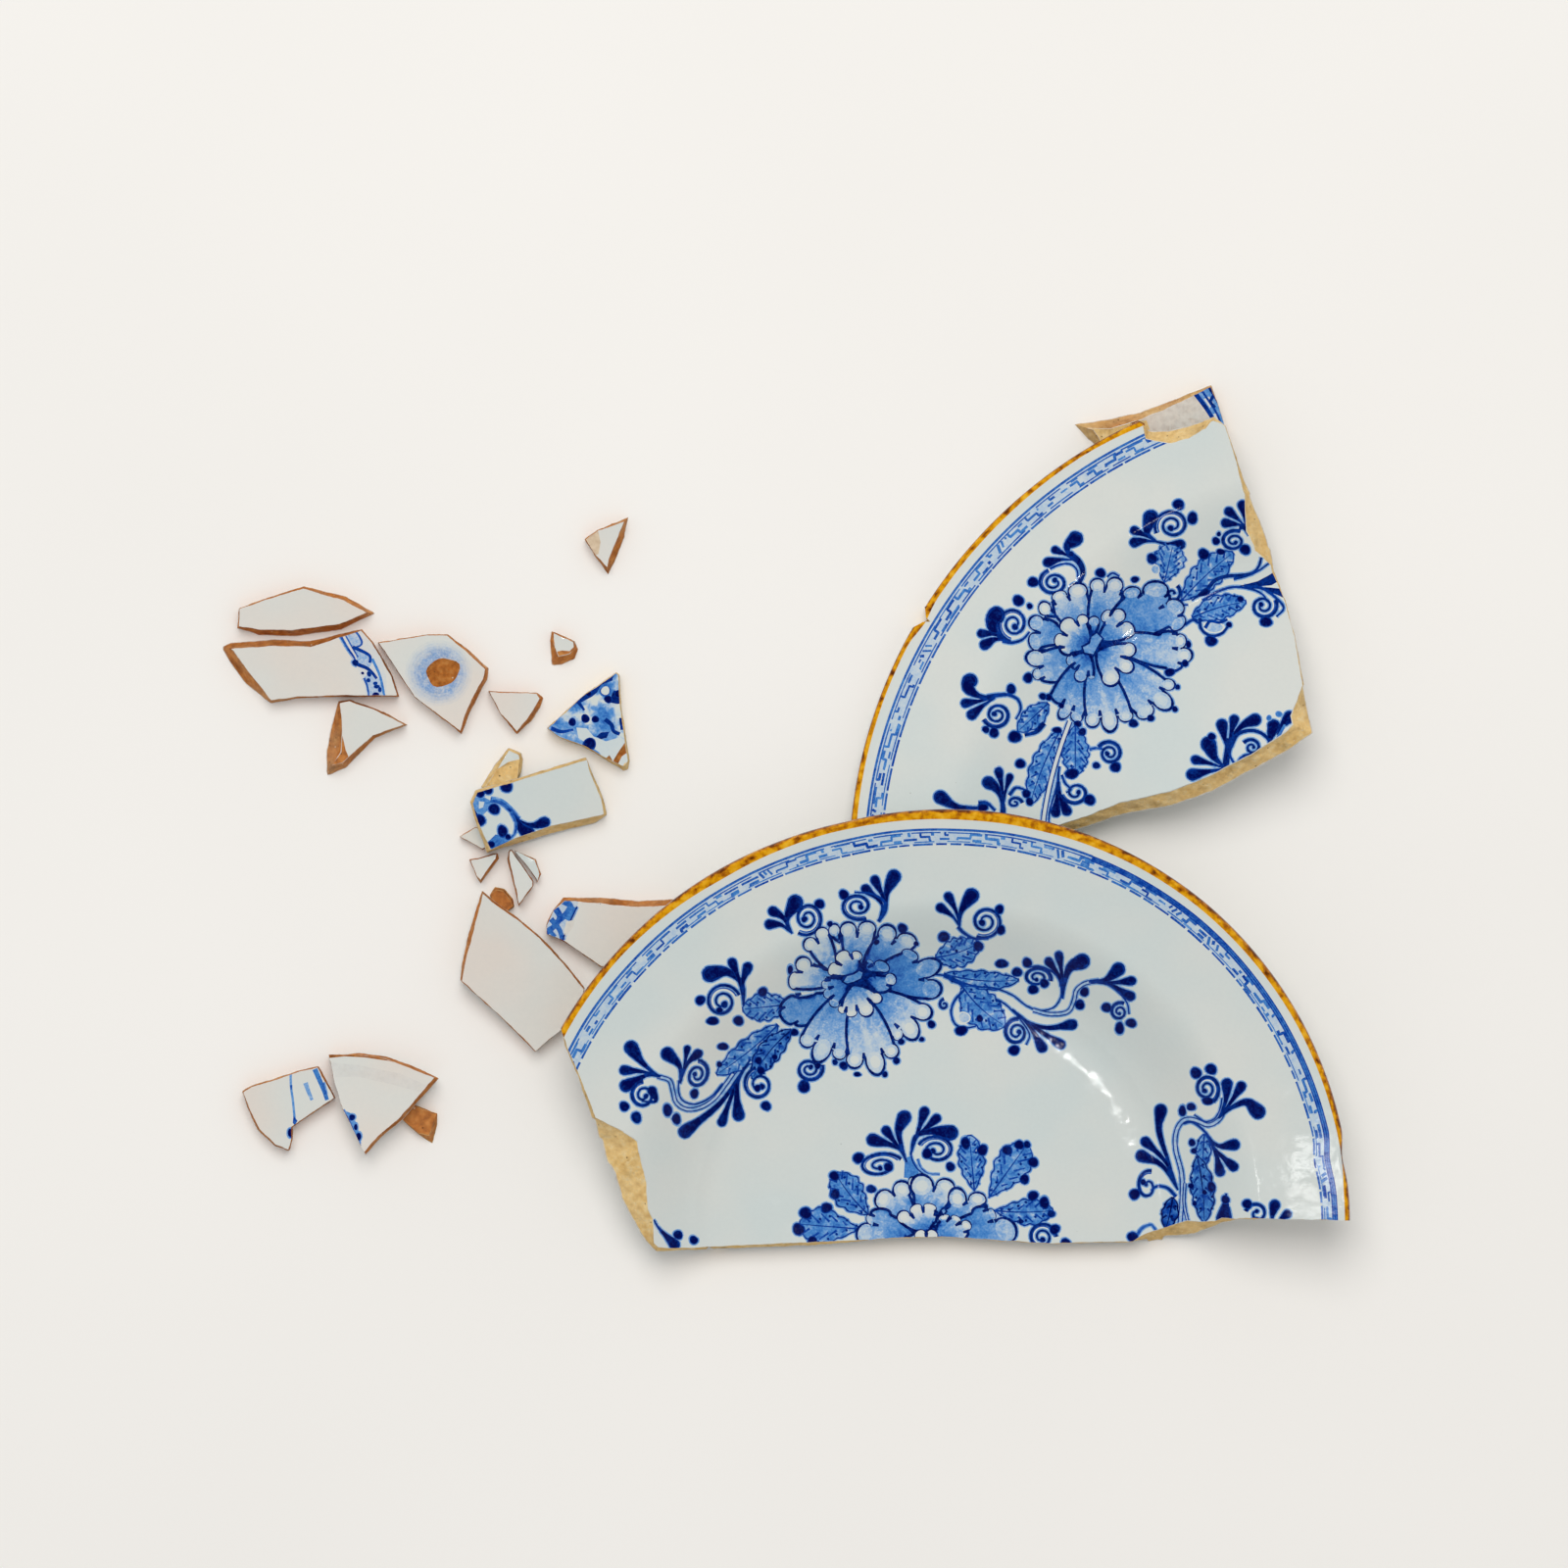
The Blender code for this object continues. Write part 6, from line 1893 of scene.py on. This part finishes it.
def clay(name):
    """Broken earthenware body: buff or rusty, paler or soiled as the sherd's paint says."""
    settings = bpy.context.scene.broken_plate
    finish = Finish(name)
    pale, rust, soil = finish.painted()
    fine = finish.noise(0.5, 3.0, 0.6)
    lumps = finish.noise(2.0, 4.0, 0.65)
    buff = finish.ramp(lumps, [(0.25, srgb(208, 162, 92)), (0.5, settings.clay_buff),
                               (0.75, srgb(252, 228, 174))])
    orange = finish.ramp(lumps, [(0.25, srgb(142, 74, 22)), (0.5, settings.clay_rust),
                                 (0.75, srgb(228, 156, 82))])
    colour = finish.mix(finish.ranged(rust, 0.25, 0.75), buff, orange)
    colour = finish.mix(finish.ranged(pale, 0.0, 1.0, 0.0, 0.6), colour, srgb(240, 222, 180))
    colour = finish.mix(finish.ranged(fine, 0.35, 0.65, 0.0, 0.2), colour, srgb(112, 76, 40))
    patchy = finish.ranged(finish.noise(1.3, 4.0, 0.7), 0.3, 0.65, 0.4, 1.15)
    grime = finish.times(soil, patchy, clamp=True)
    colour = finish.mix(grime, colour, settings.soil)
    grit = finish.specks(1.7, 0.3, 0.28)
    colour = finish.mix(finish.times(grit, 0.7), colour, srgb(82, 52, 30))
    light_grit = finish.specks(2.3, 0.25, 0.3)
    colour = finish.mix(finish.times(light_grit, 0.6), colour, srgb(238, 224, 196))
    finish.set("Base Color", colour)
    finish.set("Roughness", finish.ranged(lumps, 0.2, 0.8, 0.75, 0.95))
    grain = finish.bump(finish.noise(0.7, 5.0, 0.75), 0.3)
    finish.set("Normal", finish.bump(grit, -0.15, grain))
    finish.set("Specular IOR Level", 0.25)
    return finish.material


# ---------------------------------------------------------------- add-on

def colour_property(name, description, *parts):
    """A property that holds a colour, whose default is given in 0 to 255."""
    return bpy.props.FloatVectorProperty(name=name, description=description, subtype="COLOR", size=3,
                                         min=0.0, max=1.0, default=srgb(*parts))


class BrokenPlateSettings(bpy.types.PropertyGroup):
    """Colours, gloss and light of the broken plate."""

    glaze_white: colour_property("Glaze White", "Tin glaze where it is whitest", 215, 217, 211)
    glaze_cool: colour_property("Glaze Cool", "Tin glaze where it runs thick and bluish", 206, 214, 211)
    glaze_warm: colour_property("Glaze Warm", "Tin glaze of the small plain sherds", 222, 213, 203)
    cobalt_pale: colour_property("Cobalt Pale", "The thinnest wash of blue", 160, 192, 222)
    cobalt_mid: colour_property("Cobalt Middle", "A middling wash of blue", 70, 132, 200)
    cobalt_deep: colour_property("Cobalt Deep", "A full stroke of blue", 6, 62, 158)
    cobalt_dark: colour_property("Cobalt Dark", "Where the blue pools", 0, 7, 78)
    ochre: colour_property("Ochre", "The rim's edging", 216, 150, 10)
    ochre_dark: colour_property("Ochre Dark", "Specks in the rim's edging", 96, 46, 8)
    clay_buff: colour_property("Clay Buff", "The large sherds' body, seen in their breaks", 244, 204, 130)
    clay_rust: colour_property("Clay Rust", "The small sherds' body, seen in their breaks", 200, 118, 46)
    soil: colour_property("Soil", "Dirt that has got into the breaks", 84, 56, 30)
    gloss: bpy.props.FloatProperty(
        name="Glaze Roughness", description="Roughness of clean glaze",
        subtype="FACTOR", min=0.02, max=0.6, default=0.07)
    camera_height: bpy.props.FloatProperty(
        name="Camera Height", description="How far above the table the camera looks down from",
        subtype="DISTANCE", unit="LENGTH", min=0.5, max=10.0, default=4.0)
    key_power: bpy.props.FloatProperty(
        name="Key Light", description="Power of the large soft lamp behind the plate",
        subtype="POWER", unit="POWER", min=0.0, max=500.0, default=54.0)
    shine_power: bpy.props.FloatProperty(
        name="Shine", description="Power of the two small lamps that only show in the glaze",
        subtype="POWER", unit="POWER", min=0.0, max=500.0, default=0.45)
    sky: bpy.props.FloatProperty(
        name="Room Light", description="Strength of the even light of the room",
        min=0.0, max=5.0, default=0.55)


# Each small sherd: its node, what paints it, its slot and the tones of its clay. From the second on they
# may be left out, and are then as below
SHERDS = {
    "Sherd_lens": ("lens_sherd",),
    "Sherd_scroll_band": ("scroll_band_sherd", paint_scroll_band, "painted_glaze"),
    "Sherd_spalled_triangle": ("spalled_triangle_sherd", paint_spalled_triangle),
    "Sherd_ring_mark": ("ring_mark_sherd", paint_ring_mark, "painted_glaze"),
    "Sherd_fan": ("fan_sherd",),
    "Sherd_stained_triangle": ("stained_triangle_sherd", paint_stained_triangle),
    "Sherd_chip": ("chip_sherd", paint_chip),
    "Sherd_blue_painted": ("blue_painted_sherd", paint_blue_painted, "blue_glaze", BUFF),
    "Sherd_rough_top": ("rough_top_chip", paint_rough_top, "plain_glaze", BUFF),
    "Sherd_leaf_scroll": ("leaf_scroll_sherd", paint_leaf_scroll, "painted_glaze", BUFF),
    "Sherd_tucked_corner": ("tucked_corner_chip",),
    "Sherd_small_triangle": ("small_triangle_sherd",),
    "Sherd_tall_triangle": ("tall_triangle_sherd",),
    "Sherd_grey_corner": ("grey_corner_chip",),
    "Sherd_clay_under_tip": ("clay_chip_under_tip", paint_clay, "bare_clay"),
    "Sherd_pentagon": ("plain_pentagon_sherd",),
    "Sherd_blue_end": ("blue_end_sherd", paint_blue_end, "painted_glaze"),
    "Sherd_ridged": ("ridged_sherd", paint_ridged, "painted_glaze"),
    "Sherd_rim_triangle": ("rim_triangle_sherd", paint_rim_triangle, "painted_glaze"),
    "Sherd_clay_by_rim": ("clay_chip_by_rim", paint_clay, "bare_clay"),
    "Sherd_dirty_band": ("dirty_band_sherd", paint_dirty_band, "painted_glaze", (0.25, 0.5, 0.12)),
}
LEFT_OUT = [None, "plain_glaze", RUST]
COOL_SHERDS = ("Sherd_blue_painted", "Sherd_leaf_scroll", "Sherd_rough_top", "Sherd_grey_corner")


def finishes():
    """The plate's materials, made once."""
    settings = bpy.context.scene.broken_plate
    made = bpy.data.materials
    if "Broken clay" not in made:
        glaze("Bluish glaze", settings.glaze_white, settings.glaze_cool)
        glaze("Warm glaze", settings.glaze_warm, settings.glaze_white)
        clay("Broken clay")
    return made["Bluish glaze"], made["Warm glaze"], made["Broken clay"]


def place_piece(name, sherd, paint, front, clay_tone=RUST, slot="painted_glaze"):
    """Paints, meshes and places one sherd. Its front has the front's finish, and its break is clay."""
    brush = Painting(sherd)
    if paint:
        paint(brush)
    piece = mesh_object(name, Meshed(sherd, brush, clay_tone), [front, finishes()[2]])
    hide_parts(sherd.node)
    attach(piece, "root")


class PLATE_OT_lower_half(bpy.types.Operator):
    """Make the larger half of the plate"""
    bl_idname = "plate.lower_half"
    bl_label = "Lower Half"

    def execute(self, context):
        sherd = TurnedSherd("lower_half_sherd", 1, LOWER_RADIUS, LOWER_CENTRE, LOWER_BULGE)
        place_piece("Plate_lower_half", sherd, paint_lower_half, finishes()[0], BUFF)
        return {"FINISHED"}


class PLATE_OT_upper_rim(bpy.types.Operator):
    """Make the smaller rim sherd, which leans on its edge"""
    bl_idname = "plate.upper_rim"
    bl_label = "Upper Rim"

    def execute(self, context):
        sherd = TurnedSherd("upper_rim_sherd", 2, UPPER_RADIUS, UPPER_CENTRE, UPPER_BULGE, UPPER_TIP,
                            UPPER_TIP_TOWARDS)
        place_piece("Plate_upper_rim", sherd, paint_upper_rim, finishes()[0], BUFF)
        return {"FINISHED"}


class PLATE_OT_small_sherds(bpy.types.Operator):
    """Make the small sherds and chips"""
    bl_idname = "plate.small_sherds"
    bl_label = "Small Sherds"

    def execute(self, context):
        cool, warm, body = finishes()
        for number, (name, (node, *given)) in enumerate(SHERDS.items()):
            paint, slot, clay_tone = given + LEFT_OUT[len(given):]
            front = body if slot == "bare_clay" else cool if name in COOL_SHERDS else warm
            place_piece(name, SlabSherd(node, number + 3), paint, front, clay_tone, slot)
        return {"FINISHED"}


def aimed_light(name, zenith, azimuth, distance, size, power, shines):
    """A soft lamp, so wide and so tall, aimed at the middle of the table.

    One that shines is only seen mirrored in the glaze, and any other only lights.
    """
    light = bpy.data.lights.new(name, "AREA")
    light.shape = "ELLIPSE"
    light.size, light.size_y = size
    light.energy = power
    light.color = LAMP_WHITE
    obj = bpy.data.objects.new(name, light)
    zenith, azimuth = math.radians(zenith), math.radians(azimuth)
    out = math.sin(zenith)
    way = Vector((out * math.cos(azimuth), out * math.sin(azimuth), math.cos(zenith)))
    obj.location = Vector(TABLE_MIDDLE) + way * distance
    obj.rotation_euler = way.to_track_quat("Z", "Y").to_euler()
    obj.visible_diffuse = not shines
    obj.visible_glossy = shines
    bpy.context.scene.collection.objects.link(obj)


def room(strength):
    """Even light all round. What the glaze mirrors of it is dark overhead and pale at the sides."""
    world = bpy.data.worlds.new("Room")
    world.use_nodes = True
    nodes, links = world.node_tree.nodes, world.node_tree.links
    background = nodes["Background"]
    background.inputs["Color"].default_value = ROOM_WHITE
    parts = nodes.new("ShaderNodeSeparateXYZ")
    links.new(nodes.new("ShaderNodeTexCoord").outputs["Generated"], parts.inputs[0])
    mirrored = nodes.new("ShaderNodeMapRange")
    for socket, value in zip(mirrored.inputs[1:5], (0.0, 0.6, strength, 0.02)):
        socket.default_value = value
    links.new(parts.outputs["Z"], mirrored.inputs[0])
    choice = nodes.new("ShaderNodeMix")
    choice.inputs[2].default_value = strength
    links.new(nodes.new("ShaderNodeLightPath").outputs["Is Glossy Ray"], choice.inputs[0])
    links.new(mirrored.outputs[0], choice.inputs[3])
    links.new(choice.outputs[0], background.inputs["Strength"])
    return world


class PLATE_OT_stage(bpy.types.Operator):
    """Make the floor, the soft lights and the camera, which looks straight down"""
    bl_idname = "plate.stage"
    bl_label = "Stage"

    def execute(self, context):
        scene = context.scene
        settings = scene.broken_plate
        bpy.ops.mesh.primitive_plane_add(size=12.0)
        floor = context.object
        floor.name = "Floor"
        finish = Finish("Pale floor")
        tone = finish.ranged(finish.noise(240.0, 2.0), 0.3, 0.7)
        finish.set("Base Color", finish.mix(tone, srgb(243, 240, 235), srgb(240, 237, 232)))
        finish.set("Roughness", 0.9)
        finish.set("Specular IOR Level", 0.1)
        floor.data.materials.append(finish.material)
        aimed_light("Key", 27.0, 96.0, 3.0, (2.4, 2.4), settings.key_power, False)
        aimed_light("Shine near", 7.3, 256.0, 3.2, (0.05, 0.05), settings.shine_power, True)
        aimed_light("Shine left", 15.0, 205.5, 3.0, (0.08, 0.2), settings.shine_power * 0.7, True)
        scene.world = room(settings.sky)
        camera = bpy.data.cameras.new("Overhead")
        camera.sensor_width = SENSOR
        camera.lens = SENSOR * settings.camera_height / TABLE_SHOWN
        camera.clip_end = 40.0
        obj = bpy.data.objects.new("Overhead", camera)
        obj.location = Vector(TABLE_MIDDLE) + Vector((0, 0, settings.camera_height))
        scene.collection.objects.link(obj)
        scene.camera = obj
        scene.view_settings.view_transform = "Standard"
        return {"FINISHED"}


OPERATORS = (PLATE_OT_lower_half, PLATE_OT_upper_rim, PLATE_OT_small_sherds, PLATE_OT_stage)


class PLATE_PT_panel(bpy.types.Panel):
    """The pieces of the broken plate and their settings"""
    bl_idname = "PLATE_PT_panel"
    bl_label = "Broken Plate"
    bl_space_type = "VIEW_3D"
    bl_region_type = "UI"
    bl_category = "Plate"

    def draw(self, context):
        for operator in OPERATORS:
            self.layout.operator(operator.bl_idname)
        settings = context.scene.broken_plate
        for key in BrokenPlateSettings.__annotations__:
            self.layout.prop(settings, key)


CLASSES = (BrokenPlateSettings, *OPERATORS, PLATE_PT_panel)


def register():
    for cls in CLASSES:
        bpy.utils.register_class(cls)
    bpy.types.Scene.broken_plate = bpy.props.PointerProperty(type=BrokenPlateSettings)


def unregister():
    del bpy.types.Scene.broken_plate
    for cls in reversed(CLASSES):
        bpy.utils.unregister_class(cls)


def main():
    register()
    bpy.ops.plate.lower_half()
    bpy.ops.plate.upper_rim()
    bpy.ops.plate.small_sherds()
    bpy.ops.plate.stage()


if __name__ == "__main__":
    main()
